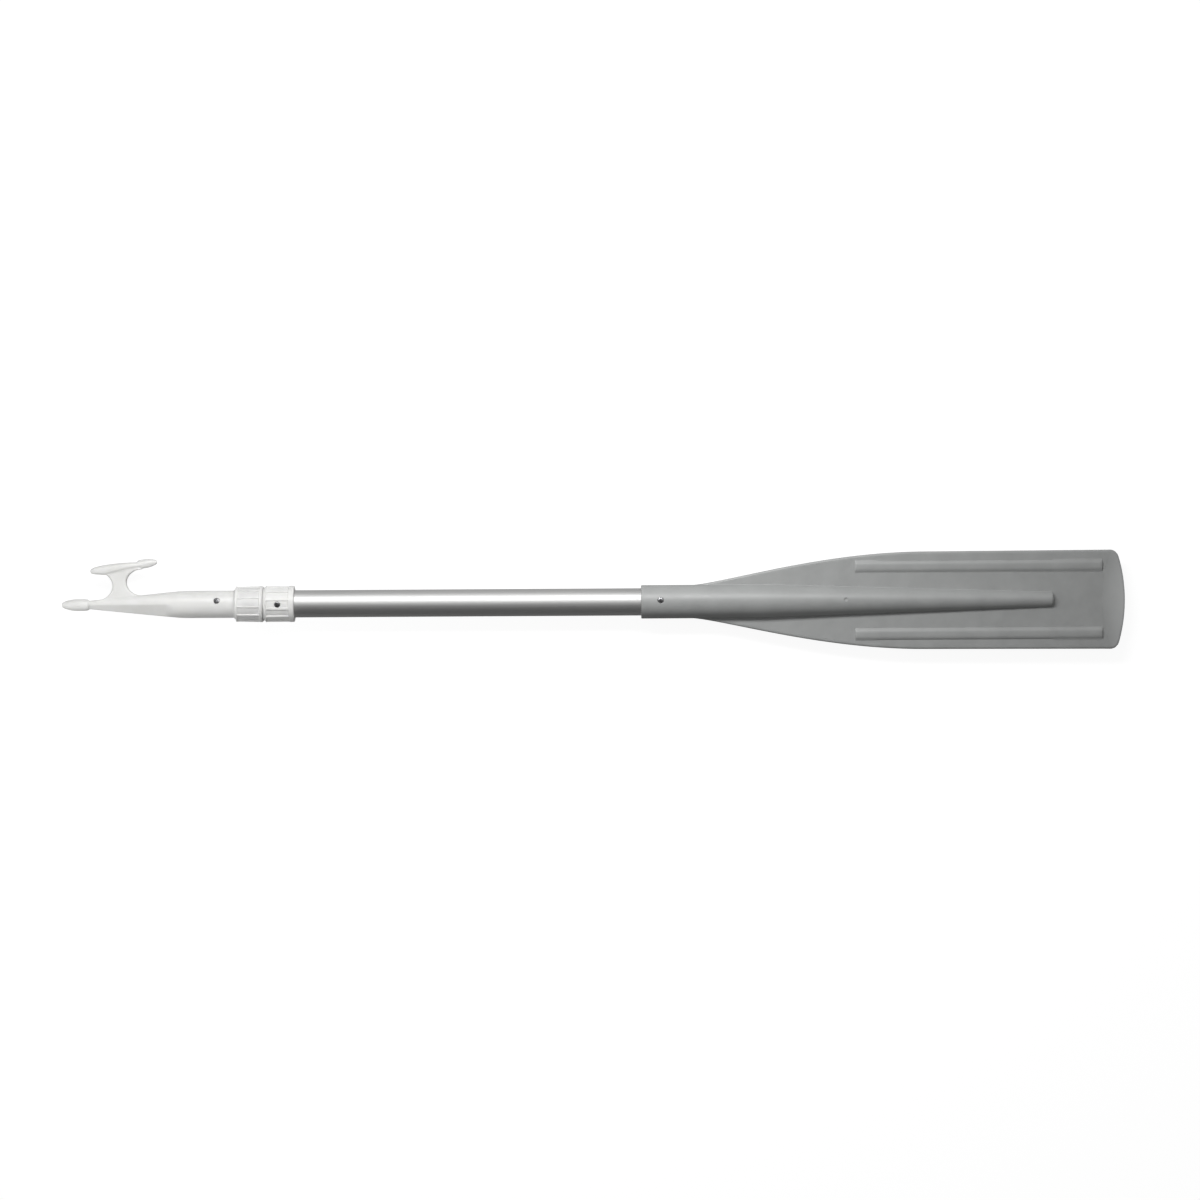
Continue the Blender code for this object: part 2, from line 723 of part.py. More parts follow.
def make_lock_nut():
    """The turning grip ring. Its mouth takes in the end of the hook's socket."""
    mouth_bottom = NUT_FRONT_X + NUT_MOUTH_DEPTH
    body_front = NUT_FRONT_X + NUT_LIP_LENGTH
    edge = COLLAR_EDGE_R / 2
    profile = (
        (NUT_FRONT_X, NUT_MOUTH_R),
        (NUT_FRONT_X, NUT_LIP_R),
        (body_front, NUT_LIP_R),
        (body_front, NUT_FRONT_R - NUT_FRONT_EDGE),
        (body_front + NUT_FRONT_EDGE, NUT_FRONT_R),
        (NUT_REAR_X - edge, COLLAR_R),
        (NUT_REAR_X, COLLAR_R - edge),
        (NUT_REAR_X, NUT_BORE_R),
        (NUT_FACE_X, NUT_BORE_R),
        (NUT_FACE_X, SLIDE_R),
        (mouth_bottom, SLIDE_R),
        (mouth_bottom, NUT_MOUTH_R),
    )
    piece = turned("lock_nut", profile)
    ridge_r = NUT_BORE_R + THREAD_RIDGE_SINK
    join(piece, helix("nut_thread", NECK_FRONT_X, ridge_r, NUT_THREAD_TURNS))
    root = NUT_FRONT_R - RIB_HEIGHT + (COLLAR_R - NUT_FRONT_R) / 2
    front = NUT_FRONT_X + NUT_GROOVE_START
    cut(piece, grooves("nut_grooves", front, NUT_REAR_X - NUT_RIM, root, GROOVE_TURN_NUT))
    return piece


def make_collet():
    """A split tapered ring. The nut presses it into the collar, and it grips the inner tube."""
    front = COLLET_X
    flange_rear = COLLET_X + COLLET_FLANGE
    rear = NECK_FRONT_X + COLLET_LENGTH
    grip_r = INNER_TUBE_R + GAP
    profile = (
        (front, grip_r),
        (front, COLLET_FLANGE_R),
        (flange_rear, COLLET_FLANGE_R),
        (flange_rear, COLLET_FRONT_R),
        (NECK_FRONT_X, COLLET_FRONT_R),
        (rear, COLLET_BACK_R),
        (rear, grip_r),
    )
    piece = turned("collet", profile)
    length = 2 * (rear - front)
    middle = Matrix.Translation(((front + rear) / 2, 0.0, -COLLET_FRONT_R))
    cut(piece, boxes("collet_slot", length, COLLET_SLOT, COLLET_FRONT_R, [middle]))
    return piece


def make_thrust_washer():
    return tube("thrust_washer", WASHER_X, WASHER_X + WASHER_THICKNESS, WASHER_R, SLIDE_R)


def make_tail_plug():
    """A stepped plug in the inner tube's tail. The guide bush turns on its stub."""
    flange_front = INNER_TUBE_REAR_X + GAP
    flange_rear = flange_front + TAIL_FLANGE
    front = INNER_TUBE_REAR_X - TAIL_PLUG_LENGTH
    stub_end = TAIL_WASHER_X - GAP
    hole_end = stub_end - TAIL_SCREW_LENGTH
    hole_r = TAIL_SCREW_R + GAP
    profile = (
        (front, 0.0),
        (front, INNER_TUBE_BORE_R - GAP),
        (flange_front, INNER_TUBE_BORE_R - GAP),
        (flange_front, TAIL_FLANGE_R),
        (flange_rear, TAIL_FLANGE_R),
        (flange_rear, STUB_R),
        (stub_end, STUB_R),
        (stub_end, hole_r),
        (hole_end, hole_r),
        (hole_end, 0.0),
    )
    return turned("tail_plug", profile)


def make_guide_bush():
    """The sleeve that runs in the outer tube, with a groove for its friction ring."""
    rear = BUSH_X + BUSH_LENGTH
    bush_r = OUTER_TUBE_BORE_R - GAP
    groove = BUSH_X + BUSH_LENGTH / 2
    half = BUSH_GROOVE_WIDTH / 2
    profile = (
        (BUSH_X, STUB_R + GAP),
        (BUSH_X, bush_r),
        (groove - half, bush_r),
        (groove - half, BUSH_GROOVE_R),
        (groove + half, BUSH_GROOVE_R),
        (groove + half, bush_r),
        (rear, bush_r),
        (rear, STUB_R + GAP),
    )
    return turned("guide_bush", profile)


def make_friction_ring():
    centre = (BUSH_X + BUSH_LENGTH / 2, RING_R)
    profile = arc(centre, RING_WIRE_R, 0, 360, 8)[:-1]
    return turned("friction_ring", profile)


def make_tail_washer():
    hole_r = TAIL_SCREW_R + GAP
    rear = TAIL_WASHER_X + TAIL_WASHER_THICKNESS
    return tube("tail_washer", TAIL_WASHER_X, rear, TAIL_WASHER_R, hole_r, SMALL_ROUND)


def make_tail_screw():
    seat = TAIL_WASHER_X + TAIL_WASHER_THICKNESS + GAP
    tip = TAIL_WASHER_X - TAIL_SCREW_LENGTH + GAP
    profile = (
        (TAIL_SCREW_END_X, 0.0),
        (TAIL_SCREW_END_X, TAIL_SCREW_HEAD_R / 2),
        (seat + TAIL_SCREW_HEAD / 2, TAIL_SCREW_HEAD_R),
        (seat, TAIL_SCREW_HEAD_R),
        (seat, TAIL_SCREW_R),
        (tip + TAIL_SCREW_R, TAIL_SCREW_R),
        (tip, TAIL_SCREW_R / 2),
        (tip, 0.0),
    )
    return turned("tail_screw", profile, steps=SMALL_ROUND)


def make_inner_tube_seal():
    front = INNER_TUBE_FRONT_X + SEAL_DISTANCE
    rear = front + SEAL_LENGTH
    seal_r = INNER_TUBE_BORE_R - GAP
    profile = (
        (front, 0.0),
        (front, seal_r - SEAL_EDGE),
        (front + SEAL_EDGE, seal_r),
        (rear - SEAL_EDGE, seal_r),
        (rear, seal_r - SEAL_EDGE),
        (rear, 0.0),
    )
    return turned("inner_tube_seal", profile, steps=SMALL_ROUND)


def shank_rings():
    """Sections of the shank: flat-sided above and keeled below, then round for the socket."""
    round_start = HOOK_LENGTH - HOOK_SOCKET_LENGTH
    flat_end = round_start - SHANK_BLEND
    stations = [blend(SHANK_START, flat_end, i / 4) for i in range(5)]
    stations += [blend(flat_end, round_start, i / 4) for i in range(1, 5)]
    stations.append(HOOK_LENGTH)
    rings = []
    for station in stations:
        taper = min((station - SHANK_START) / (round_start - SHANK_START), 1.0)
        if station <= round_start:
            half_height = blend(SHANK_TIP_R, HOOK_SOCKET_FRONT_R, taper)
        else:
            half_height = HOOK_SOCKET_R
        roundness = smooth_step(station, flat_end, round_start)
        half_width = blend(blend(SHANK_TIP_W, SHANK_BACK_W, taper), half_height, roundness)
        top = blend(SHANK_TOP_POWER, ROUND_POWER, roundness)
        bottom = blend(SHANK_KEEL_POWER, ROUND_POWER, roundness)
        x = HOOK_TIP_X + station
        rings.append(power_ring(x, 0.0, half_height, half_width, top, bottom))
    return rings


def bullet(name, start, length, radius, root_r, tilt, tip_first):
    """A blunt knob that swells from its tip and steps down to what carries it."""
    profile = [(0.0, 0.0)]
    profile += [(along * length, out * radius) for along, out in KNOB_SHAPE]
    profile += [(length, root_r), (length, 0.0)]
    if not tip_first:
        profile = [(length - s, r) for s, r in profile]
    knob = turned(name, profile, steps=SMALL_ROUND)
    centre = Matrix.Translation((HOOK_TIP_X + start[0], start[1], 0.0))
    return place(knob, centre @ Matrix.Rotation(tilt, 4, "Z"))


def web_outline():
    """The plate between shank and horn, necked by a round throat on each side."""
    left = Vector((HOOK_TIP_X, 0.0)) + LEFT_THROAT
    right = Vector((HOOK_TIP_X, 0.0)) + RIGHT_THROAT
    right_side = arc(right, THROAT_R, 268, RIGHT_THROAT_TOP, 14)
    left_side = arc(left, THROAT_R, LEFT_THROAT_TOP, -98, 14)
    outline = [(left.x, 0.0), (right.x, 0.0)] + right_side
    outline.append(run_on(right_side[-1], RIGHT_THROAT_TOP - 90, WEB_INTO_HORN_RIGHT))
    outline.append(run_on(left_side[0], LEFT_THROAT_TOP + 90, WEB_INTO_HORN_LEFT))
    return outline + left_side


def make_hook_head():
    piece = lofted("hook_head", shank_rings())
    knob = bullet("tip_knob", (0.0, 0.0), KNOB_LENGTH, KNOB_R, SHANK_TIP_R, 0.0, True)
    web = flat_plate("hook_web", web_outline(), WEB_THICKNESS, WEB_EDGE_R)
    stations = [
        power_ring(HOOK_TIP_X + s, y, rise, side, HORN_TOP_POWER, HORN_BOTTOM_POWER, HORN_ROUND)
        for s, y, rise, side in HORN_STATIONS
    ]
    horn = lofted("horn", stations)
    horn_knob = bullet(
        "horn_knob",
        HORN_KNOB_START,
        HORN_KNOB_LENGTH,
        HORN_KNOB_R,
        HORN_STATIONS[-1][2],
        HORN_KNOB_TILT,
        False,
    )
    join(piece, knob, web, horn, horn_knob)
    bore = turned(
        "hook_bore",
        (
            (HOOK_END_X + PAST, 0.0),
            (HOOK_END_X + PAST, INNER_TUBE_R + GAP),
            (HOOK_END_X - HOOK_BORE_DEPTH, INNER_TUBE_R + GAP),
            (HOOK_END_X - HOOK_BORE_DEPTH, 0.0),
        ),
    )
    cut(piece, bore, hook_pocket)
    return piece


clear_scene()
pieces = new_collection("telescopic_oar")
cutters = new_collection("cutters")

# Screw places, shared by each screw and by the holes that it goes through
hook_screw_x = HOOK_END_X - HOOK_SCREW_FROM_END
collar_screw_x = COLLAR_FRONT_X + COLLAR_SCREW_FROM_FRONT
blade_screw_x = MOUTH_X + BLADE_SCREW_FROM_MOUTH
groove_r = COLLAR_R - RIB_HEIGHT
tube_tip_r = OUTER_TUBE_BORE_R + TUBE_SCREW_TIP
hook_pocket = screw_pocket(
    "hook_pocket", hook_screw_x, HOOK_SCREW_TURN, HOOK_SOCKET_FRONT_R, INNER_TUBE_BORE_R - PAST
)
collar_pocket = screw_pocket(
    "collar_pocket", collar_screw_x, COLLAR_SCREW_TURN, groove_r, OUTER_TUBE_BORE_R - PAST
)
blade_pocket = screw_pocket(
    "blade_pocket", blade_screw_x, BLADE_SCREW_TURN, SOCKET_R, OUTER_TUBE_BORE_R - PAST
)

# One empty for each moving body, on the axis that it turns about and slides along
oar_axis = joint_empty("oar_axis", 0.0, None)
clamp_axis = joint_empty("clamp_axis", NECK_FRONT_X, oar_axis)
nut_axis = joint_empty("nut_axis", NUT_FACE_X, clamp_axis)
slider_axis = joint_empty("slider_axis", BUSH_X, oar_axis)
hook_axis = joint_empty("hook_axis", INNER_TUBE_REAR_X, slider_axis)

finish(make_outer_tube(), ALUMINIUM, oar_axis)
finish(make_blade(), GREY_PLASTIC, oar_axis)
finish(make_outer_tube_plug(), RUBBER, oar_axis)
finish(make_clamp_collar(), WHITE_NYLON, oar_axis)
collar_screw = tapping_screw("collar_screw", collar_screw_x, COLLAR_SCREW_TURN, groove_r, tube_tip_r)
finish(collar_screw, STEEL, oar_axis)
blade_screw = tapping_screw("blade_screw", blade_screw_x, BLADE_SCREW_TURN, SOCKET_R, tube_tip_r)
finish(blade_screw, STEEL, oar_axis)

finish(make_collet(), ACETAL, clamp_axis)
finish(make_thrust_washer(), STEEL, clamp_axis)
finish(make_lock_nut(), WHITE_NYLON, nut_axis)

finish(make_guide_bush(), ACETAL, slider_axis)
finish(make_friction_ring(), RUBBER, slider_axis)

finish(make_inner_tube(), ALUMINIUM, hook_axis)
finish(make_inner_tube_seal(), FOAM, hook_axis)
finish(make_tail_plug(), ACETAL, hook_axis)
finish(make_tail_washer(), STEEL, hook_axis)
finish(make_tail_screw(), STEEL, hook_axis)
finish(make_hook_head(), WHITE_NYLON, hook_axis)
hook_screw = tapping_screw(
    "hook_screw", hook_screw_x, HOOK_SCREW_TURN, HOOK_SOCKET_FRONT_R, HOOK_SCREW_TIP_R
)
finish(hook_screw, STEEL, hook_axis)

bpy.context.view_layer.update()
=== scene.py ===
"""Looks of a telescopic oar with a boat hook: a satin tube, a grey blade and white moulded fittings.

Lengths are in metres. The oar lies closed along X, hook at -X and blade at +X, with the blade's
face up. Shapes are worked out about the shaft's axis and then lifted to its height.
"""

import math

import bmesh
import bpy
import numpy as np
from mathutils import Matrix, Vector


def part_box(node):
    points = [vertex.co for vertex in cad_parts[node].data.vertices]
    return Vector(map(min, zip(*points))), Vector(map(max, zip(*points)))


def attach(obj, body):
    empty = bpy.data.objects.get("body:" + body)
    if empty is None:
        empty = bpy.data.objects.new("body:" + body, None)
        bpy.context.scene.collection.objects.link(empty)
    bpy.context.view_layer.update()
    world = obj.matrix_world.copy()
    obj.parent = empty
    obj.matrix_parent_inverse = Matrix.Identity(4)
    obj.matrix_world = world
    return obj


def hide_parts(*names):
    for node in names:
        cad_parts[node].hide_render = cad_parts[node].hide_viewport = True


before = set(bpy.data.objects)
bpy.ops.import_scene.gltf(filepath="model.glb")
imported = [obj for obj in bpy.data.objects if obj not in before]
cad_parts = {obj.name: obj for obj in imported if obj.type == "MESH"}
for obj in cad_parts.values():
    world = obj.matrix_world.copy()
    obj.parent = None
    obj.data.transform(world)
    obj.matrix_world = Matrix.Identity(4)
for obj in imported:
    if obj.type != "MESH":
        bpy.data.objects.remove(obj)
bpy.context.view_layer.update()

# Stations along the shaft, from the frame
AXIS_HEIGHT = (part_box("outer_tube")[0].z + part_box("outer_tube")[1].z) / 2
HOOK_TIP, HOOK_END = (corner.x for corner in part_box("hook_head"))
NUT_FRONT, NUT_REAR = (corner.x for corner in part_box("lock_nut"))
NECK_FRONT, COLLAR_REAR = (corner.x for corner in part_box("clamp_collar"))
TUBE_FRONT, TUBE_REAR = (corner.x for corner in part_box("outer_tube"))
POLE_FRONT, POLE_REAR = (corner.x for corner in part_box("inner_tube"))
MOUTH, BLADE_TIP = (corner.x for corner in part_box("blade"))

# Tubes
TUBE_R = 0.0150
TUBE_WALL = 0.0015
POLE_R = 0.0125
POLE_WALL = 0.00125
TUBE_EDGE = 0.0003
FIT = 0.0003
SLIDE_R = 0.0129

# Hook head
SOCKET_R = 0.0150
SOCKET_FRONT_R = 0.0145
SOCKET_LENGTH = 0.0654
BORE_DEPTH = 0.055
SHANK_START = 0.026
SHANK_IN_KNOB = 0.006
SHANK_TIP = (0.0043, 0.0038)
SHANK_BACK = (0.0145, 0.0145)
# Power of the shank's sections, a little squarer than an ellipse, and how much of it they lose
# from a distance on, to be round at the socket
SHANK_POWER = 2.6
POWER_DROP = 0.6
DROP_START = 0.090
# The socket's draft begins a little before it and ends a little inside it
DRAFT_BEFORE = 0.004
DRAFT_AFTER = 0.012
# The shank's lower side is cut by two flat faces, which run out before the socket
FACE_SLOPE = 0.65
FACE_SHARE = 0.75
FACE_END = (0.1120, 0.1260)
# A knob's profile as shares of its length and radius, then the length and radius of both knobs
KNOB_SHAPE = np.array(
    [(0.0, 0.0), (0.0, 0.38), (0.03, 0.47), (0.13, 0.66), (0.25, 0.82), (0.35, 0.91), (0.45, 0.97),
     (0.55, 1.0), (0.82, 1.0), (0.93, 0.96), (0.985, 0.88), (1.0, 0.78), (1.0, 0.0)]
)
TIP_KNOB_SIZE = (0.0295, 0.0066)
HORN_KNOB_SIZE = (0.0212, 0.0050)
WEB_HALF = 0.0046
WEB_EDGE = 0.0028
WEB_LOW = 0.001
WEB_HIGH = 0.0400
# Throats are ellipses: centre along and above, half length, half height
LEFT_THROAT = (0.0368, 0.0207, 0.0188, 0.0158)
RIGHT_THROAT = (0.0880, 0.0246, 0.0167, 0.0142)
# Horn: distance from the hook's tip, height above the axis, half height, half width
HORN = np.array(
    [(0.0314, 0.0371, 0.0014, 0.0018), (0.0320, 0.0371, 0.0024, 0.0032), (0.0334, 0.0372, 0.0030, 0.0042),
     (0.0370, 0.0377, 0.0041, 0.0058), (0.0439, 0.0383, 0.0052, 0.0070), (0.0476, 0.0385, 0.0055, 0.0073),
     (0.0567, 0.0403, 0.0050, 0.0074), (0.0658, 0.0417, 0.0044, 0.0072), (0.0749, 0.0430, 0.0036, 0.0066),
     (0.0804, 0.0435, 0.0032, 0.0060), (0.0880, 0.0442, 0.0031, 0.0052)]
)
HORN_POWERS = (2.4, 3.0)
HORN_KNOB = (0.0837, 0.0440)
HORN_KNOB_TILT = math.radians(8.5)
# The hook's parts are grown into one skin on a grid of this size, which is then eased
SKIN_GRID = 0.00066
EASING_ROUNDS = 4

# Clamp
MOUTH_R = 0.0154
LIP_R = 0.0162
LIP_DRAFT = 0.0002
LIP_LENGTH = 0.0018
NUT_FRONT_R = 0.01925
GRIP_R = 0.0199
# The chamfer at the nut's rear: length and depth
NUT_CHAMFER = (0.0014, 0.0009)
RIB_HEIGHT = 0.0010
RIBS = 12
# Panels between the ribs: margins before and behind, turn of the first, half width
NUT_PANELS = (0.0040, 0.0035, math.radians(5.5), 0.0041)
COLLAR_PANELS = (0.0014, 0.0056, math.radians(-1.2), 0.0038)
PANEL_WALL = math.radians(0.8)
# A panel's end walls begin outside it and end inside it
PANEL_END_OUT = 0.0001
PANEL_END_IN = 0.0005
NECK_R = 0.0166
SHOULDER_R = 0.0182
SHOULDER_LENGTH = 0.0020
NUT_BORE_R = 0.0177
NUT_TO_COLLAR = 0.0026
NUT_MOUTH_DEPTH = 0.0060
NUT_FACE = 0.0025
COLLET_R = 0.0153
COLLET_END_R = 0.0143
COLLET_LENGTH = 0.0125
COLLAR_FACE = 0.0022
THREAD_PITCH = 0.0040
THREAD_HEIGHT = 0.00075
THREAD_CREST = 0.00025
THREAD_FOOT = 0.00095
THREAD_FADE = 0.0015
THREAD_BEFORE_SHOULDER = 0.0005
THREAD_BEFORE_REAR = 0.001
# Points along a thread and along a ring's panels lie this far apart
THREAD_SPACING = 0.00035
PANEL_SPACING = 0.0003
# A point this near to a thread's root radius lies on the threaded face
SAME_RADIUS = 1e-5

# Blade
BLADE_SOCKET_R = 0.0184
BLADE_BORE_R = 0.0153
BLADE_BORE = 0.1851
CORE_END = 0.4275
TAPER_START = 0.1305
SHAFT_END = 0.4535
SHAFT_END_R = 0.0083
SOCKET_EDGE = 0.0008
NOSE_EDGE = 0.0025
NOSE_FOOT = 0.0018
NOSE_DRAFT = 0.0005
SHAFT_WALL = 0.0026
FOOT_R = 0.0007
# Keeps the fillet at the shaft's foot within the web where that is narrow
FOOT_SHARE = 0.45
WEB = 0.0018
WEB_RIM = 0.0026
RIM_SHARE = 0.85
TIP_WEB = 0.0010
# Columns of a quarter section round the rim, from mid-thickness to the web's face
RIM_COLUMNS = 8
# Sections run to this distance from the tip, where the rows that follow its arch take over
SECTIONS_TO_TIP = 0.0235
LIP_START = 0.0250
# The lip's line lies this much nearer the tip at the distance from the middle that follows
LIP_BOW = 0.0090
LIP_BOW_AT = 0.05
# Four points that steer the flare's cubic curve: distance from the mouth and from the axis
FLARE = np.array([(0.0505, 0.0180), (0.0855, 0.0180), (0.1926, 0.0537), (0.3126, 0.0537)])
TIP_HALF = 0.0546
TIP_ARC_R = 0.170
CORNER_R = 0.0100
BAR_MIDDLE = 0.0373
BAR_HALF = 0.00625
BAR_RISE = 0.0018
BAR_POWER = 3.4
BAR_START = 0.2352
BAR_END = 0.5080
BAR_END_R = 0.0013
# A bar's outer and inner columns lie within these shares of the web's flat, from the shaft out
BAR_OUT_SHARE = 0.85
BAR_IN_SHARE = 0.35
# The round mark that the mould's gate left on the shaft: station and turn, radius, floor, edge
GATE_MARK = (0.2772, math.radians(5.0))
GATE_R = 0.0021
GATE_FLOOR = 0.0146
GATE_EDGE = 0.0004
GATE_REACH = 0.003

# Screws
SCREW_R = 0.0032
SCREW_SHANK_R = 0.0017
SCREW_SUNK = 0.0004
SCREW_DOME = 0.0006
SCREW_EDGE = 0.00005
SCREW_POINT = 0.001
SCREW_POINT_R = 0.0007
SLOT_HALF_WIDTH = 0.00042
SLOT_HALF_LENGTH = 0.0018
SLOT_DEPTH = 0.0013
# The slot's wall, from its full depth inside to nothing outside
SLOT_WALL = (-0.00022, 0.00006)
POCKET_FLARE = 0.0005
POCKET_LEDGE = 0.0002
HOOK_SCREW_SEAT = SOCKET_FRONT_R + 0.0004
# How deep the points reach, as distances from the shaft's axis
HOOK_SCREW_TIP = 0.0070
TUBE_SCREW_TIP = 0.0137
# Places: distance along the shaft, and turn from straight up towards +Y
HOOK_SCREW = (HOOK_END - 0.0219, math.radians(15.0))
COLLAR_SCREW = (NUT_REAR + NUT_TO_COLLAR + 0.0141, math.radians(-2.5))
BLADE_SCREW = (MOUTH + 0.0213, math.radians(5.0))

# Points nearer than this are one; edges that turn more than this stay sharp
MERGE = 0.000002
SHARP = math.radians(38.0)
# Differences below these count as nothing, in a thickness and along a profile
THIN = 1e-6
SAME_PLACE = 1e-7

# Sockets of a Mix node that mixes colours
COLOUR_A = 6
COLOUR_B = 7
COLOUR_OUT = 2

# Floor: its level and its brightness to the camera
FLOOR_LEVEL = -0.0002
FLOOR_SEEN = 0.92
# Its brightness to gloss: near the shaft's line, up to a soft edge, and on the sides of -Y and +Y,
# with a ramp between these that reaches this far
NEAR_GLOSS = 0.18
NEAR_EDGE = (0.015, 0.022)
SIDE_GLOSS = (0.05, 0.28)
SIDE_REACH = 0.05
# Light from all round, from -Y and from +Y
WORLD_LIGHT = (0.03, 0.43)
# Camera: place, turn about the vertical, lens and sensor in millimetres
CAMERA_PLACE = (0.0072, 0.0023, 4.02)
CAMERA_TURN = math.radians(-0.33)
LENS = 109.0
SENSOR = 36.0


def step(value, low, high):
    """0 below low and 1 above high, with a smooth rise between them: t * t * (3 - 2 t)."""
    share = np.clip((value - low) / (high - low), 0.0, 1.0)
    return share * share * (3.0 - 2.0 * share)


def skin(points):
    """Points and quads of a grid whose columns close on themselves."""
    rows, columns = points.shape[:2]
    row = np.arange(rows - 1)[:, None]
    column = np.arange(columns)[None, :]
    on, beside = row + 1, (column + 1) % columns
    corners = [row * columns + column, row * columns + beside, on * columns + beside, on * columns + column]
    quads = np.stack(np.broadcast_arrays(*corners), axis=-1)
    return points.reshape(-1, 3), quads.reshape(-1, 4)


def moulded(name, *skins):
    """One object from closed skins, lifted to the axis. Points that meet are made one."""
    points = np.concatenate([points for points, _ in skins]) + (0.0, 0.0, AXIS_HEIGHT)
    first = np.cumsum([0] + [len(points) for points, _ in skins])
    quads = np.concatenate([quads + start for (_, quads), start in zip(skins, first)])
    mesh = bpy.data.meshes.new(name)
    mesh.from_pydata(points.tolist(), [], quads.tolist())
    body = bmesh.new()
    body.from_mesh(mesh)
    bmesh.ops.remove_doubles(body, verts=body.verts, dist=MERGE)
    bmesh.ops.recalc_face_normals(body, faces=body.faces)
    body.to_mesh(mesh)
    body.free()
    obj = bpy.data.objects.new(name, mesh)
    bpy.context.scene.collection.objects.link(obj)
    return obj


def settled(obj):
    """Turns what the object's modifiers make into its own mesh."""
    bpy.context.view_layer.update()
    graph = bpy.context.evaluated_depsgraph_get()
    mesh = bpy.data.meshes.new_from_object(obj.evaluated_get(graph))
    obj.modifiers.clear()
    obj.data = mesh
    return obj


def drilled(obj, cutter):
    """Cuts a recess out of a piece and removes the cutter."""
    boolean = obj.modifiers.new("recess", "BOOLEAN")
    boolean.operation = "DIFFERENCE"
    boolean.solver = "EXACT"
    boolean.object = cutter
    settled(obj)
    bpy.data.objects.remove(cutter, do_unlink=True)
    return obj


def shown(obj, body, slot, finish, *nodes):
    """Gives a piece its finish and body, and lets it stand for its CAD nodes. Its slot is not used."""
    obj.data.shade_smooth()
    obj.data.set_sharp_from_angle(angle=SHARP)
    obj.data.materials.clear()
    obj.data.materials.append(finish)
    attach(obj, body)
    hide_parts(*nodes)


def path(corners, arc_steps=5):
    """A path through (x, radius, corner radius, spacing) rows, as (x, radius) points.

    Each corner becomes an arc that touches both its runs. A spacing above 0 puts points at that
    distance along the run to the next corner.
    """
    rows = np.array(corners, float)
    here, fillet, spacing = rows[:, :2], rows[:, 2], rows[:, 3]
    runs = np.diff(here, axis=0)
    runs /= np.linalg.norm(runs, axis=1, keepdims=True)
    share = np.linspace(0.0, 1.0, arc_steps + 1)[:, None]
    pieces = []
    for i in range(len(rows)):
        if fillet[i] > 0:
            back, on = -runs[i - 1], runs[i]
            half = math.acos(float(np.clip(back @ on, -1.0, 1.0))) / 2
            middle = (back + on) / np.linalg.norm(back + on)
            centre = here[i] + middle * fillet[i] / math.sin(half)
            start = here[i] + back * fillet[i] / math.tan(half) - centre
            end = here[i] + on * fillet[i] / math.tan(half) - centre
            sweep = math.pi - 2 * half
            arc = np.sin((1 - share) * sweep) * start + np.sin(share * sweep) * end
            points = centre + arc / math.sin(sweep)
        else:
            points = here[i : i + 1]
        if pieces and spacing[i - 1] > 0:
            gap = points[0] - pieces[-1][-1]
            count = max(int(np.linalg.norm(gap) / spacing[i - 1]), 1)
            between = np.linspace(0.0, 1.0, count + 1)[1:-1, None]
            pieces.append(pieces[-1][-1] + between * gap)
        pieces.append(points)
    return np.concatenate([piece for piece in pieces if len(piece)])


def turned(profile, columns, radius=None):
    """A profile turned about the shaft: (x, r sin a, r cos a) for every angle a from straight up.

    columns is a count of even angles, or the angles. radius(x, r, a) may change the radius with
    the angle, for ribs and threads.
    """
    angle = np.linspace(0.0, math.tau, columns, endpoint=False) if np.isscalar(columns) else columns
    x, r = np.broadcast_arrays(profile[:, :1], 0 * angle)[0], profile[:, 1:] + 0 * angle
    if radius is not None:
        r = radius(x, r, angle)
    return np.stack([x, r * np.sin(angle), r * np.cos(angle)], axis=-1)


def across(points, place):
    """Turns a shape made along the shaft to stand across it, pointing outwards at a screw's place.

    Its x becomes the distance from the axis; (x, y, z) goes to (station + z, x sin t + y cos t,
    x cos t - y sin t) for a turn t.
    """
    station, turn = place
    x, y, z = points[..., 0], points[..., 1], points[..., 2]
    out = [station + z, x * math.sin(turn) + y * math.cos(turn), x * math.cos(turn) - y * math.sin(turn)]
    return np.stack(out, axis=-1)


def pipe(name, front, rear, outer, wall):
    """A tube with eased ends: a rectangle of wall turned about the shaft."""
    inner = outer - wall
    middle = (outer + inner) / 2
    corners = [
        (front, middle, 0, 0), (front, outer, TUBE_EDGE, 0.012), (rear, outer, TUBE_EDGE, 0),
        (rear, inner, TUBE_EDGE, 0.012), (front, inner, TUBE_EDGE, 0), (front, middle, 0, 0),
    ]
    return moulded(name, skin(turned(path(corners), 128)))


def grip(ring_front, ring_rear, root, panels):
    """The radius of a grip ring and the angles of its columns.

    The radius is r, pulled in to the floor of the panel between two ribs, where a smooth step
    along the ring and one round each panel are both 1. Columns lie close together where a
    panel's sides are.
    """
    before, behind, first_turn, panel_half = panels
    front, rear = ring_front + before, ring_rear - behind
    pitch, side = math.tau / RIBS, panel_half / root
    wall = side + np.linspace(-PANEL_WALL, PANEL_WALL, 6)
    on_floor = np.linspace(-wall[0], wall[0], 7)[1:-1]
    on_rib = np.linspace(wall[-1], pitch - wall[-1], 4)[1:-1]
    one = np.concatenate([-wall[::-1], on_floor, wall, on_rib])
    columns = (one[None, :] + pitch * np.arange(RIBS)[:, None]).reshape(-1) + first_turn

    def radius(x, r, angle):
        from_middle = np.abs((angle - first_turn + pitch / 2) % pitch - pitch / 2)
        across_it = 1.0 - step(from_middle, side - PANEL_WALL, side + PANEL_WALL)
        past_front = step(x, front - PANEL_END_OUT, front + PANEL_END_IN)
        along_it = past_front * (1.0 - step(x, rear - PANEL_END_IN, rear + PANEL_END_OUT))
        return r - np.maximum(r - root, 0.0) * across_it * along_it

    return radius, columns


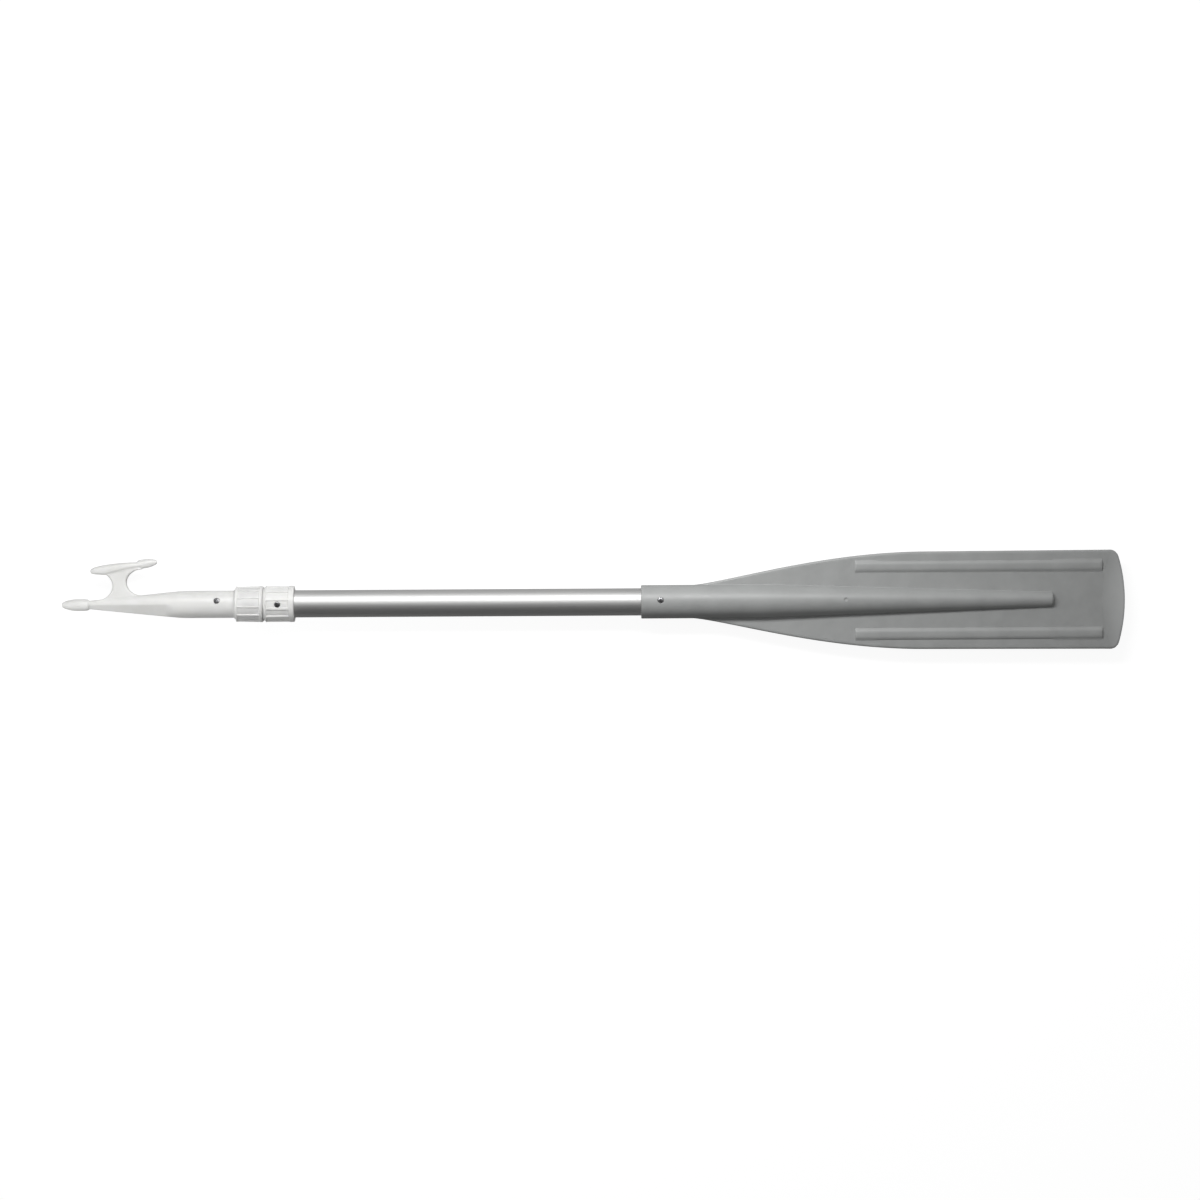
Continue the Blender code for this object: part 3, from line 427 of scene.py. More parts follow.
def thread(x, angle, start, end, turn=0.0):
    """Height of a right-handed ridge, as a share: it falls off smoothly from the line where x
    has gone one pitch for each full turn, and fades out at the thread's two ends."""
    turns = (x - start) / THREAD_PITCH - (math.pi / 2 - angle) / math.tau - turn
    distance = np.abs(turns - np.round(turns)) * THREAD_PITCH
    ends = step(x, start, start + THREAD_FADE) * (1.0 - step(x, end - THREAD_FADE, end))
    return (1.0 - step(distance, THREAD_CREST, THREAD_FOOT)) * ends


def make_nut():
    """The turning grip ring: a lip round the hook's socket, ribs, a smooth rim and a threaded bore."""
    body = NUT_FRONT + LIP_LENGTH
    mouth = NUT_FRONT + NUT_MOUTH_DEPTH
    face = mouth + NUT_FACE
    long, deep = NUT_CHAMFER
    corners = [
        (face, SLIDE_R, 0, 0), (mouth, SLIDE_R, 0, 0), (mouth, MOUTH_R, 0, 0.002),
        (NUT_FRONT, MOUTH_R, 0.0002, 0), (NUT_FRONT, LIP_R, 0.0004, 0),
        (body, LIP_R + LIP_DRAFT, 0.0004, 0), (body, NUT_FRONT_R, 0.0004, PANEL_SPACING),
        (NUT_REAR - long, GRIP_R, 0.0006, 0), (NUT_REAR, GRIP_R - deep, 0.0004, 0),
        (NUT_REAR, NUT_BORE_R, 0.0003, THREAD_SPACING), (face, NUT_BORE_R, 0, 0), (face, SLIDE_R, 0, 0),
    ]
    root = (NUT_FRONT_R + GRIP_R) / 2 - RIB_HEIGHT
    ribs, columns = grip(NUT_FRONT, NUT_REAR, root, NUT_PANELS)

    def radius(x, r, angle):
        r = ribs(x, r, angle)
        ridge = THREAD_HEIGHT * thread(x, angle, NECK_FRONT, NUT_REAR - THREAD_BEFORE_REAR, 0.5)
        return np.where(np.abs(r - NUT_BORE_R) < SAME_RADIUS, r - ridge, r)

    return moulded("ribbed_nut", skin(turned(path(corners), columns, radius)))


def make_collar():
    """The fixed grip ring with a shoulder and its threaded neck, bored out for collet and tube."""
    front = NUT_REAR + NUT_TO_COLLAR
    shoulder = front - SHOULDER_LENGTH
    tube = front + COLLAR_FACE - FIT
    pocket = NECK_FRONT + COLLET_LENGTH
    corners = [
        (pocket, COLLET_END_R, 0, 0), (NECK_FRONT, COLLET_R + FIT, 0.0002, 0),
        (NECK_FRONT, NECK_R, 0.0004, THREAD_SPACING), (shoulder, NECK_R, 0.0003, 0),
        (shoulder, SHOULDER_R, 0.0004, 0), (front, SHOULDER_R, 0.0003, 0),
        (front, GRIP_R, 0.0007, PANEL_SPACING), (COLLAR_REAR, GRIP_R, 0.0010, 0),
        (COLLAR_REAR, TUBE_R + FIT, 0.0003, 0.006), (tube, TUBE_R + FIT, 0, 0), (tube, SLIDE_R, 0, 0),
        (pocket, SLIDE_R, 0, 0), (pocket, COLLET_END_R, 0, 0),
    ]
    root = GRIP_R - RIB_HEIGHT
    ribs, columns = grip(front, COLLAR_REAR, root, COLLAR_PANELS)

    def radius(x, r, angle):
        r = ribs(x, r, angle)
        start, end = NECK_FRONT + THREAD_PITCH / 2, shoulder - THREAD_BEFORE_SHOULDER
        ridge = THREAD_HEIGHT * thread(x, angle, start, end)
        return np.where(np.abs(r - NECK_R) < SAME_RADIUS, r + ridge, r)

    piece = moulded("ribbed_collar", skin(turned(path(corners), columns, radius)))
    return drilled(piece, pocket_cutter(COLLAR_SCREW, root, TUBE_R + FIT / 2))


def pocket_cutter(place, surface, bottom):
    """The countersunk hole round a screw, as a cutter turned about the screw's own axis."""
    rim, top = surface - SCREW_SUNK, surface + SCREW_R
    head, shank = SCREW_R + FIT, SCREW_SHANK_R - FIT
    flare = head + POCKET_FLARE
    corners = [
        (top, 0, 0, 0), (top, flare, 0, 0), (surface + POCKET_LEDGE, flare, 0, 0), (rim, head, 0, 0),
        (rim - SCREW_R + SCREW_SHANK_R, shank, 0, 0), (bottom, shank, 0, 0), (bottom, 0, 0, 0),
    ]
    return moulded("pocket", skin(across(turned(path(corners), 40), place)))


def make_screw(name, place, surface, tip):
    """A raised countersunk screw. Its head is a dome less a cross: the depth falls off smoothly
    with the distance from two crossed slots."""
    rim = surface - SCREW_SUNK
    out = np.linspace(0.0, 1.0, 26) ** 0.9 * (SCREW_R - SCREW_EDGE)
    head = np.stack([rim + SCREW_DOME * (1.0 - (out / SCREW_R) ** 2), out], axis=-1)
    neck = rim - SCREW_R + SCREW_SHANK_R
    rest = path([
        (rim, SCREW_R, 0, 0), (neck, SCREW_SHANK_R, 0, 0.0004), (tip + SCREW_POINT, SCREW_SHANK_R, 0, 0),
        (tip, SCREW_POINT_R, 0, 0), (tip, 0, 0, 0),
    ])
    top = turned(head, 80)
    y, z = np.abs(top[..., 1]), np.abs(top[..., 2])
    one = np.maximum(y - SLOT_HALF_WIDTH, z - SLOT_HALF_LENGTH)
    other = np.maximum(z - SLOT_HALF_WIDTH, y - SLOT_HALF_LENGTH)
    top[..., 0] -= SLOT_DEPTH * (1.0 - step(np.minimum(one, other), *SLOT_WALL))
    return moulded(name, skin(across(np.concatenate([top, turned(rest, 80)]), place)))


def superellipse(x, centre, half_height, half_width, top, bottom, columns):
    """Rings across the shaft, (x, c + h sin^p, w cos^p), whose power p = 2 / power differs above
    and below; every argument but columns is one number, or a column with one for each ring."""
    angle = np.linspace(0.0, math.tau, columns, endpoint=False)[None, :]
    side, rise = np.cos(angle), np.sin(angle)
    power = 2.0 / np.where(rise >= 0, top, bottom)
    y = centre + half_height * np.sign(rise) * np.abs(rise) ** power
    z = half_width * np.sign(side) * np.abs(side) ** power
    return np.stack(np.broadcast_arrays(x, y, z), axis=-1)


def shank_and_socket():
    """The shank's tapered sections, the round socket, its end and its bore.

    A section is an oval, whose lower half is cut flat on both sides: from the level of the axis
    its z falls by FACE_SLOPE for each unit of y, down to a flat keel. Where the flat faces run
    out, the cut section and the oval are mixed by a smooth step.
    """
    length = HOOK_END - HOOK_TIP
    round_start = length - SOCKET_LENGTH
    # Sections lie closer together where the flat faces run out
    s = np.concatenate([
        np.linspace(SHANK_START - SHANK_IN_KNOB, 0.110, 40), np.linspace(0.111, 0.128, 28),
        np.linspace(0.130, length, 24),
    ])[:, None]
    taper = np.clip((s - SHANK_START) / (round_start - SHANK_START), 0.0, 1.0)
    draft = (SOCKET_R - SOCKET_FRONT_R) * step(s, round_start - DRAFT_BEFORE, round_start + DRAFT_AFTER)
    high = SHANK_TIP[0] + (SHANK_BACK[0] - SHANK_TIP[0]) * taper + draft
    wide = SHANK_TIP[1] + (SHANK_BACK[1] - SHANK_TIP[1]) * taper + draft
    power = SHANK_POWER - POWER_DROP * step(s, DROP_START, round_start)
    rings = superellipse(HOOK_TIP + s, 0.0, high, wide, power, power, 128)
    turn = np.arctan2(np.abs(rings[..., 1]) / high, np.abs(rings[..., 2]) / wide) / (math.pi / 2)
    on_face = np.minimum(turn / FACE_SHARE, 1.0)
    on_keel = np.maximum(turn - FACE_SHARE, 0.0) / (1.0 - FACE_SHARE)
    keel = (wide - FACE_SLOPE * high * on_face) * (1.0 - on_keel)
    cut = (rings[..., 1] < 0) * (1.0 - step(s, *FACE_END))
    rings[..., 1] += cut * (-high * on_face - rings[..., 1])
    rings[..., 2] += cut * (np.sign(rings[..., 2]) * keel - rings[..., 2])
    angle = np.arctan2(rings[-1, :, 1], rings[-1, :, 2])
    seat, wall = HOOK_END - BORE_DEPTH, POLE_R + FIT
    bore = np.array([(HOOK_END, wall), (seat, wall), (seat, 0.0)])
    front = rings[:1] * (1.0, 0.0, 0.0)
    return skin(np.concatenate([front, rings, turned(bore, angle)]))


def knob(start, length, radius, tilt, tip_first):
    """A blunt knob turned about its own line, swelling from its tip and stepping down to its root."""
    share, out = KNOB_SHAPE[:, 0], KNOB_SHAPE[:, 1]
    profile = np.stack([(share if tip_first else 1.0 - share) * length, out * radius], axis=-1)
    points = turned(profile, 48)
    x, y = points[..., 0].copy(), points[..., 1].copy()
    points[..., 0] = HOOK_TIP + start[0] + x * math.cos(tilt) - y * math.sin(tilt)
    points[..., 1] = start[1] + x * math.sin(tilt) + y * math.cos(tilt)
    return skin(points)


def throat_side(y, throat, side):
    """Where one edge of the web is at height y: on the ellipse of its throat."""
    along, above, long, high = throat
    return along + side * long * np.sqrt(np.clip(1.0 - ((y - above) / high) ** 2, 0.0, 1.0))


def web_of_hook():
    """The plate between shank and horn: at each height a rectangle with round corners, a box grown
    by a circle, whose ends lie on the two throats."""
    y = np.linspace(WEB_LOW, WEB_HIGH, 110)[:, None]
    left = throat_side(y, LEFT_THROAT, 1.0)
    right = throat_side(y, RIGHT_THROAT, -1.0)
    angle = np.linspace(0.0, math.tau, 64, endpoint=False)[None, :] + math.tau / 128
    middle, half = (left + right) / 2, (right - left) / 2
    x = HOOK_TIP + middle + np.sign(np.cos(angle)) * (half - WEB_EDGE) + WEB_EDGE * np.cos(angle)
    z = np.sign(np.sin(angle)) * (WEB_HALF - WEB_EDGE) + WEB_EDGE * np.sin(angle)
    points = np.stack(np.broadcast_arrays(x, y, z), axis=-1)
    ends = points.mean(axis=1, keepdims=True) + 0 * points
    return skin(np.concatenate([ends[:1], points, ends[-1:]]))


def horn():
    """The cross bar of the hook: flattened rings along a line that rises to its knob."""
    s = np.linspace(HORN[0, 0], HORN[-1, 0], 60)
    rise, half_height, half_width = (np.interp(s, HORN[:, 0], HORN[:, i])[:, None] for i in (1, 2, 3))
    rings = superellipse(HOOK_TIP + s[:, None], rise, half_height, half_width, *HORN_POWERS, 64)
    ends = rings.mean(axis=1, keepdims=True) + 0 * rings
    return skin(np.concatenate([ends[:1], rings, ends[-1:]]))


def make_hook():
    """The double boat hook. Its parts are grown into one skin and the joints between them eased."""
    tip = knob((0.0, 0.0), *TIP_KNOB_SIZE, 0.0, True)
    end = knob(HORN_KNOB, *HORN_KNOB_SIZE, HORN_KNOB_TILT, False)
    piece = moulded("double_boat_hook", shank_and_socket(), tip, web_of_hook(), horn(), end)
    grown = piece.modifiers.new("grown", "REMESH")
    grown.mode = "VOXEL"
    grown.voxel_size = SKIN_GRID
    eased = piece.modifiers.new("eased", "SMOOTH")
    eased.factor = 0.5
    eased.iterations = EASING_ROUNDS
    settled(piece)
    return drilled(piece, pocket_cutter(HOOK_SCREW, HOOK_SCREW_SEAT, POLE_R + FIT / 2))


def half_width_of_blade(x):
    """Half the web's width: 0 before the flare, a cubic curve out of the socket, then straight."""
    t = np.linspace(0.0, 1.0, 400)[:, None]
    a, b, c, d = FLARE
    curve = (1 - t) ** 3 * a + 3 * (1 - t) ** 2 * t * b + 3 * (1 - t) * t**2 * c + t**3 * d
    along = np.append(curve[:, 0], BLADE_TIP - MOUTH)
    half = np.append(curve[:, 1], TIP_HALF)
    return np.interp(x - MOUTH, along, half, left=0.0)


def half_web(x, y):
    """Half the web's thickness: full, then falling evenly through the bowed lip at the tip."""
    start = BLADE_TIP - LIP_START + LIP_BOW * (y / LIP_BOW_AT) ** 2
    share = np.clip((x - start) / LIP_START, 0.0, 1.0)
    return WEB - (WEB - TIP_WEB) * share


def bar_rise(x, y):
    """Height of a bar above the web: one less a power of the share across it, with rounded ends."""
    across_it = np.clip(1.0 - np.abs((np.abs(y) - BAR_MIDDLE) / BAR_HALF) ** BAR_POWER, 0.0, 1.0)
    front, rear = MOUTH + BAR_START, MOUTH + BAR_END
    from_end = np.minimum(x - front, rear - x)
    ends = np.sqrt(np.clip(1.0 - (1.0 - np.clip(from_end / BAR_END_R, 0.0, 1.0)) ** 2, 0.0, 1.0))
    return BAR_RISE * across_it * ends


def blade_rows():
    """Rows along the blade's outside: the shaft's profile with its round nose and foot, and more
    stations where the web flares and the bars begin and end."""
    last = BLADE_TIP - SECTIONS_TO_TIP
    profile = path([
        (MOUTH, BLADE_BORE_R, 0, 0), (MOUTH, BLADE_SOCKET_R, SOCKET_EDGE, 0.005),
        (MOUTH + TAPER_START, BLADE_SOCKET_R, 0, 0.006), (MOUTH + SHAFT_END, SHAFT_END_R, NOSE_EDGE, 0),
        (MOUTH + SHAFT_END + NOSE_DRAFT, WEB, NOSE_FOOT, 0), (last, WEB, 0, 0),
    ], 7)
    length = np.append(0.0, np.cumsum(np.linalg.norm(np.diff(profile, axis=0), axis=1)))
    ends = np.array([0.0, 0.00008, 0.0003, 0.0007, BAR_END_R])
    extra = np.concatenate([
        MOUTH + np.arange(0.048, 0.13, 0.002), MOUTH + BAR_START + ends, MOUTH + BAR_END - ends,
        np.arange(MOUTH + SHAFT_END + 0.006, last, 0.004),
    ])
    straight = np.append(True, np.diff(profile[:, 0]) > SAME_PLACE)
    where = np.interp(extra, profile[straight, 0], length[straight])
    where = np.unique(np.round(np.concatenate([length, where]), 7))
    return np.interp(where, length, profile[:, 0])[:, None], np.interp(where, length, profile[:, 1])[:, None]


def blade_sections(x, r):
    """Quarter sections of the blade at stations x, from its edge at mid-thickness to the shaft's top.

    The round shaft, the web with its round rim, the bars and a fillet at the shaft's foot are one
    line: at each height the rim is the greater of the web's edge and the shaft's circle, and the
    fillet is an arc that touches the web's face and the circle.
    """
    web = half_web(x, 0.0 * x)
    rim_z = np.minimum(WEB_RIM, RIM_SHARE * web)
    half = half_width_of_blade(x)
    beta = np.radians(np.linspace(0.0, 90.0, RIM_COLUMNS - 1))[None, :]
    edge_y = np.concatenate([half, half - WEB_RIM + WEB_RIM * np.cos(beta)], axis=1)
    edge_z = np.concatenate([0.0 * half, web - rim_z + rim_z * np.sin(beta)], axis=1)
    edge_y = np.maximum(edge_y, np.sqrt(np.maximum(r**2 - edge_z**2, 0.0)))
    room = np.maximum(half - WEB_RIM, 0.0) ** 2 - (r**2 - web**2)
    foot = np.clip(FOOT_SHARE * room / np.maximum(r - web, THIN), 0.0, FOOT_R) * (r > web + THIN)
    inner = np.sqrt(np.maximum(r**2 - web**2 + 2 * foot * (r - web), 0.0))
    outer = np.maximum(half - WEB_RIM, inner)
    flat = outer - inner
    bar_out = inner + np.minimum(np.maximum(BAR_MIDDLE + BAR_HALF - inner, 0.0), BAR_OUT_SHARE * flat)
    bar_in = inner + np.minimum(np.maximum(BAR_MIDDLE - BAR_HALF - inner, 0.0), BAR_IN_SHARE * flat)
    flat_y = np.concatenate([
        outer + (bar_out - outer) * np.linspace(0.0, 1.0, 5)[None, 1:-1],
        bar_out + (bar_in - bar_out) * np.linspace(0.0, 1.0, 19)[None, :],
        bar_in + (inner - bar_in) * np.linspace(0.0, 1.0, 10)[None, 1:],
    ], axis=1)
    flat_z = half_web(x, flat_y) + bar_rise(x, flat_y)
    lean = np.arctan2(inner, web + foot)
    bend = lean * np.linspace(0.0, 1.0, 7)[None, 1:]
    foot_y = inner - foot * np.sin(bend)
    foot_z = web + foot - foot * np.cos(bend)
    round_ = lean * np.linspace(1.0, 0.0, 19)[None, 1:]
    y = np.concatenate([edge_y, flat_y, foot_y, r * np.sin(round_)], axis=1)
    z = np.concatenate([edge_z, flat_z, foot_z, r * np.cos(round_)], axis=1)
    return np.stack([x + 0 * y, y, z], axis=-1)


def blade_end(last):
    """Quarter rows of the arched tip with its round corners.

    The side runs straight and then half way round the corner; the tip's edge runs round the other
    half and over the arch. A point inside lies at its share of the width, and moves along X with
    the tip's arch as it nears the tip. The rim is a quarter ellipse all round.
    """
    arch_x, inset = BLADE_TIP - TIP_ARC_R, TIP_ARC_R - WEB_RIM
    corner_y = TIP_HALF - CORNER_R
    corner_x = arch_x + math.sqrt((TIP_ARC_R - CORNER_R) ** 2 - corner_y**2)
    lean = math.atan2(corner_y, corner_x - arch_x)
    halfway = (math.pi / 2 + lean) / 2
    small = CORNER_R - WEB_RIM
    x_start, y_start = last[RIM_COLUMNS - 1, 0], last[RIM_COLUMNS - 1, 1]
    straight, bend = corner_x - x_start, small * (math.pi / 2 - halfway)
    v = np.linspace(0.0, 1.0, 26)[1:]
    run = v * (straight + bend)
    turn = np.pi / 2 - np.clip(run - straight, 0.0, None) / small
    straight_y = y_start + (corner_y + small - y_start) * run / straight
    side_x = np.where(run < straight, x_start + run, corner_x + small * np.cos(turn))
    side_y = np.where(run < straight, straight_y, corner_y + small * np.sin(turn))
    side = np.stack([side_x, side_y], axis=-1)
    side_n = np.stack([np.cos(turn), np.sin(turn)], axis=-1)
    share = np.clip(last[RIM_COLUMNS:, 1] / y_start, 0.0, 1.0)
    tip_y = share * side_y[-1]
    join_y = inset * math.sin(lean)
    on_arch = tip_y <= join_y
    tip_x = np.where(
        on_arch, arch_x + np.sqrt(inset**2 - tip_y**2),
        corner_x + np.sqrt(np.maximum(small**2 - (tip_y - corner_y) ** 2, 0.0)),
    )
    arch_n = np.stack([tip_x - arch_x, tip_y], axis=-1) / inset
    round_n = np.stack([tip_x - corner_x, tip_y - corner_y], axis=-1) / small
    tip_n = np.where(on_arch[:, None], arch_n, round_n)
    flat_x = side_x[:, None] + v[:, None] * (tip_x - side_x[-1])[None, :]
    flat_y = side_y[:, None] * share[None, :]
    flat = np.stack([flat_x, flat_y, half_web(flat_x, flat_y)], axis=-1)
    beta = np.append(0.0, np.radians(np.linspace(0.0, 90.0, RIM_COLUMNS - 1)))

    def rim(foot, normal, column):
        """Points of the rim over its foot points: column 0 is at mid-thickness."""
        angle = beta[column]
        plan = foot + normal * (WEB_RIM * np.cos(angle))[..., None]
        web = half_web(plan[..., 0], plan[..., 1])
        drop = np.minimum(WEB_RIM, RIM_SHARE * web)
        height = np.where(column == 0, 0.0, web - drop + drop * np.sin(angle))
        return np.concatenate([plan, height[..., None]], axis=-1)

    columns = np.arange(RIM_COLUMNS)
    down = np.arange(RIM_COLUMNS - 2, -1, -1)[:, None]
    body = np.concatenate([rim(side[:, None, :], side_n[:, None, :], columns), flat], axis=1)
    over = rim(np.stack([tip_x, tip_y], axis=-1), tip_n, down)
    shared = rim(side[-1], side_n[-1], np.minimum(down, columns))
    return np.concatenate([body, np.concatenate([shared, over], axis=1)])


def make_blade():
    """The blade in one skin: bore, socket, tapered shaft, web, bars and lip, from quarter sections
    that are mirrored across and below."""
    x, r = blade_rows()
    quarter = blade_sections(x, r)
    quarter = np.concatenate([quarter, blade_end(quarter[-1])])
    # The bore's points lie at the angles of a row on the socket's edge
    edge = quarter[4]
    spread = np.arctan2(edge[:, 1], edge[:, 2])
    seat, end = MOUTH + BLADE_BORE, MOUTH + CORE_END
    taper = (BLADE_SOCKET_R - SHAFT_END_R) / (SHAFT_END - TAPER_START)
    deep = [BLADE_SOCKET_R - taper * (s - TAPER_START) - SHAFT_WALL for s in (BLADE_BORE, CORE_END)]
    bore = np.array([(end, 0.0), (end, deep[1]), (seat, deep[0]), (seat, BLADE_BORE_R)])
    quarter = np.concatenate([turned(bore, spread), quarter])
    other = quarter[:, ::-1] * (1.0, -1.0, 1.0)
    top = np.concatenate([quarter, other[:, 1:]], axis=1)
    below = top[:, ::-1] * (1.0, 1.0, -1.0)
    loop = np.concatenate([top, below[:, 1:-1]], axis=1)
    piece = moulded("ribbed_blade", skin(loop))
    high = GATE_FLOOR + GATE_REACH
    gate = path([
        (high, 0, 0, 0), (high, GATE_R, 0, 0), (GATE_FLOOR, GATE_R, GATE_EDGE, 0), (GATE_FLOOR, 0, 0, 0),
    ], 4)
    drilled(piece, moulded("gate", skin(across(turned(gate, 32), GATE_MARK))))
    return drilled(piece, pocket_cutter(BLADE_SCREW, BLADE_SOCKET_R, TUBE_R + FIT / 2))


def adder(tree):
    """A function that adds a node to a tree. Each input is given a value, or a socket to follow."""

    def add(kind, values=None, **settings):
        node = tree.nodes.new(kind)
        for key, value in settings.items():
            setattr(node, key, value)
        for socket, value in (values or {}).items():
            if isinstance(value, bpy.types.NodeSocket):
                tree.links.new(value, node.inputs[socket])
            else:
                node.inputs[socket].default_value = value
        return node

    return add


def new_finish(name, colour, roughness, metallic=0.0):
    """A material with a Principled shader, and a function that adds nodes to it."""
    material = bpy.data.materials.new(name)
    material.use_nodes = True
    tree = material.node_tree
    shader = tree.nodes["Principled BSDF"]
    shader.inputs["Base Color"].default_value = (*colour, 1.0)
    shader.inputs["Roughness"].default_value = roughness
    shader.inputs["Metallic"].default_value = metallic
    return material, shader, adder(tree), tree.links


def position(add):
    """A point's X, Y and Z in the piece's own coordinates, in metres."""
    place = add("ShaderNodeTexCoord").outputs["Object"]
    return add("ShaderNodeSeparateXYZ", {"Vector": place}).outputs


def worked(add, operation, *values):
    """One step of arithmetic."""
    return add("ShaderNodeMath", dict(enumerate(values)), operation=operation).outputs["Value"]


def mapped(add, value, from_low, from_high, low, high, **settings):
    """Maps one range of values to another, and holds it at its ends."""
    limits = {"Value": value, "From Min": from_low, "From Max": from_high, "To Min": low, "To Max": high}
    return add("ShaderNodeMapRange", limits, **settings).outputs["Result"]


def pattern(add, scale, detail, stretch=(1.0, 1.0, 1.0), roughness=0.5):
    """Noise on the piece's own coordinates, in metres, stretched along an axis if asked."""
    place = add("ShaderNodeTexCoord").outputs["Object"]
    placed = add("ShaderNodeMapping", {"Vector": place, "Scale": stretch}).outputs["Vector"]
    values = {"Vector": placed, "Scale": scale, "Detail": detail, "Roughness": roughness}
    return add("ShaderNodeTexNoise", values).outputs["Fac"]


def spread_over(add, value, low, high):
    """Maps the middle range of a pattern to a range of values."""
    return mapped(add, value, 0.35, 0.65, low, high)


def tinted(add, links, shader, value, dark, light):
    """Runs the base colour between two tints with a value from 0 to 1."""
    values = {"Factor": value, COLOUR_A: (*dark, 1.0), COLOUR_B: (*light, 1.0)}
    mix = add("ShaderNodeMix", values, data_type="RGBA")
    links.new(mix.outputs[COLOUR_OUT], shader.inputs["Base Color"])


def bumped(add, links, shader, height, distance):
    """Raises the surface with a pattern, by a distance in metres."""
    bump = add("ShaderNodeBump", {"Height": height, "Strength": 1.0, "Distance": distance})
    links.new(bump.outputs["Normal"], shader.inputs["Normal"])


def moulded_plastic(name, dark, light, roughness, grain=1800.0, depth=0.000012):
    """Moulded plastic: slow mottling, a fine grain from the mould, and rubbed patches."""
    material, shader, add, links = new_finish(name, light, roughness)
    mottle = spread_over(add, pattern(add, 45.0, 4.0, roughness=0.6), 0.0, 1.0)
    tinted(add, links, shader, mottle, dark, light)
    rubbed = spread_over(add, pattern(add, 90.0, 5.0, roughness=0.65), roughness - 0.05, roughness + 0.06)
    links.new(rubbed, shader.inputs["Roughness"])
    bumped(add, links, shader, pattern(add, grain, 2.0), depth)
    return material, shader, add, links


def white_nylon():
    """Dense white nylon that lets a little light into itself."""
    dark, light = (0.70, 0.70, 0.685), (0.73, 0.73, 0.72)
    material, shader = moulded_plastic("white_nylon", dark, light, 0.42)[:2]
    shader.inputs["Subsurface Weight"].default_value = 0.6
    shader.inputs["Subsurface Radius"].default_value = (1.0, 1.0, 0.95)
    shader.inputs["Subsurface Scale"].default_value = 0.0035
    return material


def grey_plastic():
    """Grey moulded plastic, with painted light on the thin lip at the blade's tip, which is tinted paler
    towards the tip.
    """
    dark, light, lip_lit_tint = (0.338, 0.345, 0.342), (0.370, 0.378, 0.374), (0.53, 0.54, 0.535)
    material, shader, add, links = moulded_plastic("grey_plastic", dark, light, 0.46, 2200.0, 0.00001)
    tint = shader.inputs["Base Color"].links[0].from_socket
    # Painted light: the lip is tinted paler towards the tip, as if its face caught more light there.
    lip_start, place = BLADE_TIP - LIP_START, position(add)
    bow = worked(add, "MULTIPLY", place["Y"], place["Y"])
    bow = worked(add, "MULTIPLY_ADD", bow, -LIP_BOW / LIP_BOW_AT**2, place["X"])
    lip_light_share = mapped(add, bow, lip_start, BLADE_TIP, 0.12, 1.0)
    lip_light_share = worked(add, "MULTIPLY", lip_light_share, worked(add, "GREATER_THAN", bow, lip_start))
    pale = add("ShaderNodeMix", {"Factor": lip_light_share, COLOUR_A: tint, COLOUR_B: (*lip_lit_tint, 1.0)}, data_type="RGBA")
    links.new(pale.outputs[COLOUR_OUT], shader.inputs["Base Color"])
    shader.inputs["Specular IOR Level"].default_value = 0.75
    return material


def satin_aluminium():
    """Drawn and anodised aluminium: hair-fine lines along the tube in its gloss and its surface."""
    colour = (0.61, 0.61, 0.605)
    material, shader, add, links = new_finish("satin_aluminium", colour, 0.42, 1.0)
    lines = pattern(add, 1.0, 4.0, (9.0, 2600.0, 2600.0), 0.6)
    links.new(spread_over(add, lines, 0.50, 0.60), shader.inputs["Roughness"])
    clouds = spread_over(add, pattern(add, 14.0, 3.0, (0.4, 1.0, 1.0)), 0.0, 1.0)
    darker = tuple(0.96 * value for value in colour)
    tinted(add, links, shader, clouds, darker, colour)
    bumped(add, links, shader, lines, 0.000004)
    return material


def steel():
    """Stainless steel, kept dark as painted shade, with random stains."""
    # Painted shade: the base colour and both tints are far darker than steel, standing in for the dark
    # surroundings it reflects and the shade in its recess.
    material, shader, add, links = new_finish("stainless_steel", (0.20, 0.20, 0.205), 0.34, 1.0)
    stains_in_painted_shade = spread_over(add, pattern(add, 700.0, 4.0), 0.0, 1.0)
    tinted(add, links, shader, stains_in_painted_shade, (0.13, 0.13, 0.135), (0.24, 0.24, 0.245))
    links.new(spread_over(add, pattern(add, 1500.0, 3.0), 0.26, 0.42), shader.inputs["Roughness"])
    return material


nylon = white_nylon()
plastic = grey_plastic()
aluminium = satin_aluminium()
stainless = steel()
# Finishes of hidden pieces: dark and light tint, roughness, scale and depth of the grain
hidden = (
    ("natural_acetal", (0.80, 0.79, 0.74), (0.86, 0.85, 0.80), 0.38, 1500.0, 0.000008),
    ("black_rubber", (0.022, 0.022, 0.022), (0.034, 0.034, 0.034), 0.68, 900.0, 0.00003),
    ("closed_cell_foam", (0.70, 0.69, 0.65), (0.77, 0.76, 0.72), 0.88, 600.0, 0.0002),
)
acetal, rubber, foam = (moulded_plastic(*values)[0] for values in hidden)

outer_tube = pipe("satin_outer_tube", TUBE_FRONT, TUBE_REAR, TUBE_R, TUBE_WALL)
inner_tube = pipe("satin_inner_tube", POLE_FRONT, POLE_REAR, POLE_R, POLE_WALL)
shown(outer_tube, "paddle", "satin_aluminium", aluminium, "outer_tube")
shown(inner_tube, "boat_hook", "satin_aluminium", aluminium, "inner_tube")
shown(make_hook(), "boat_hook", "white_nylon", nylon, "hook_head")
shown(make_nut(), "nut", "white_nylon", nylon, "lock_nut")
shown(make_collar(), "paddle", "white_nylon", nylon, "clamp_collar")
shown(make_blade(), "paddle", "grey_plastic", plastic, "blade")
screws = (
    ("hook_fixing_screw", HOOK_SCREW, HOOK_SCREW_SEAT, HOOK_SCREW_TIP, "boat_hook", "hook_screw"),
    ("collar_fixing_screw", COLLAR_SCREW, GRIP_R - RIB_HEIGHT, TUBE_SCREW_TIP, "paddle", "collar_screw"),
    ("blade_fixing_screw", BLADE_SCREW, BLADE_SOCKET_R, TUBE_SCREW_TIP, "paddle", "blade_screw"),
)
for name, place, surface, tip, body, node in screws:
    shown(make_screw(name, place, surface, tip), body, "stainless_steel", stainless, node)

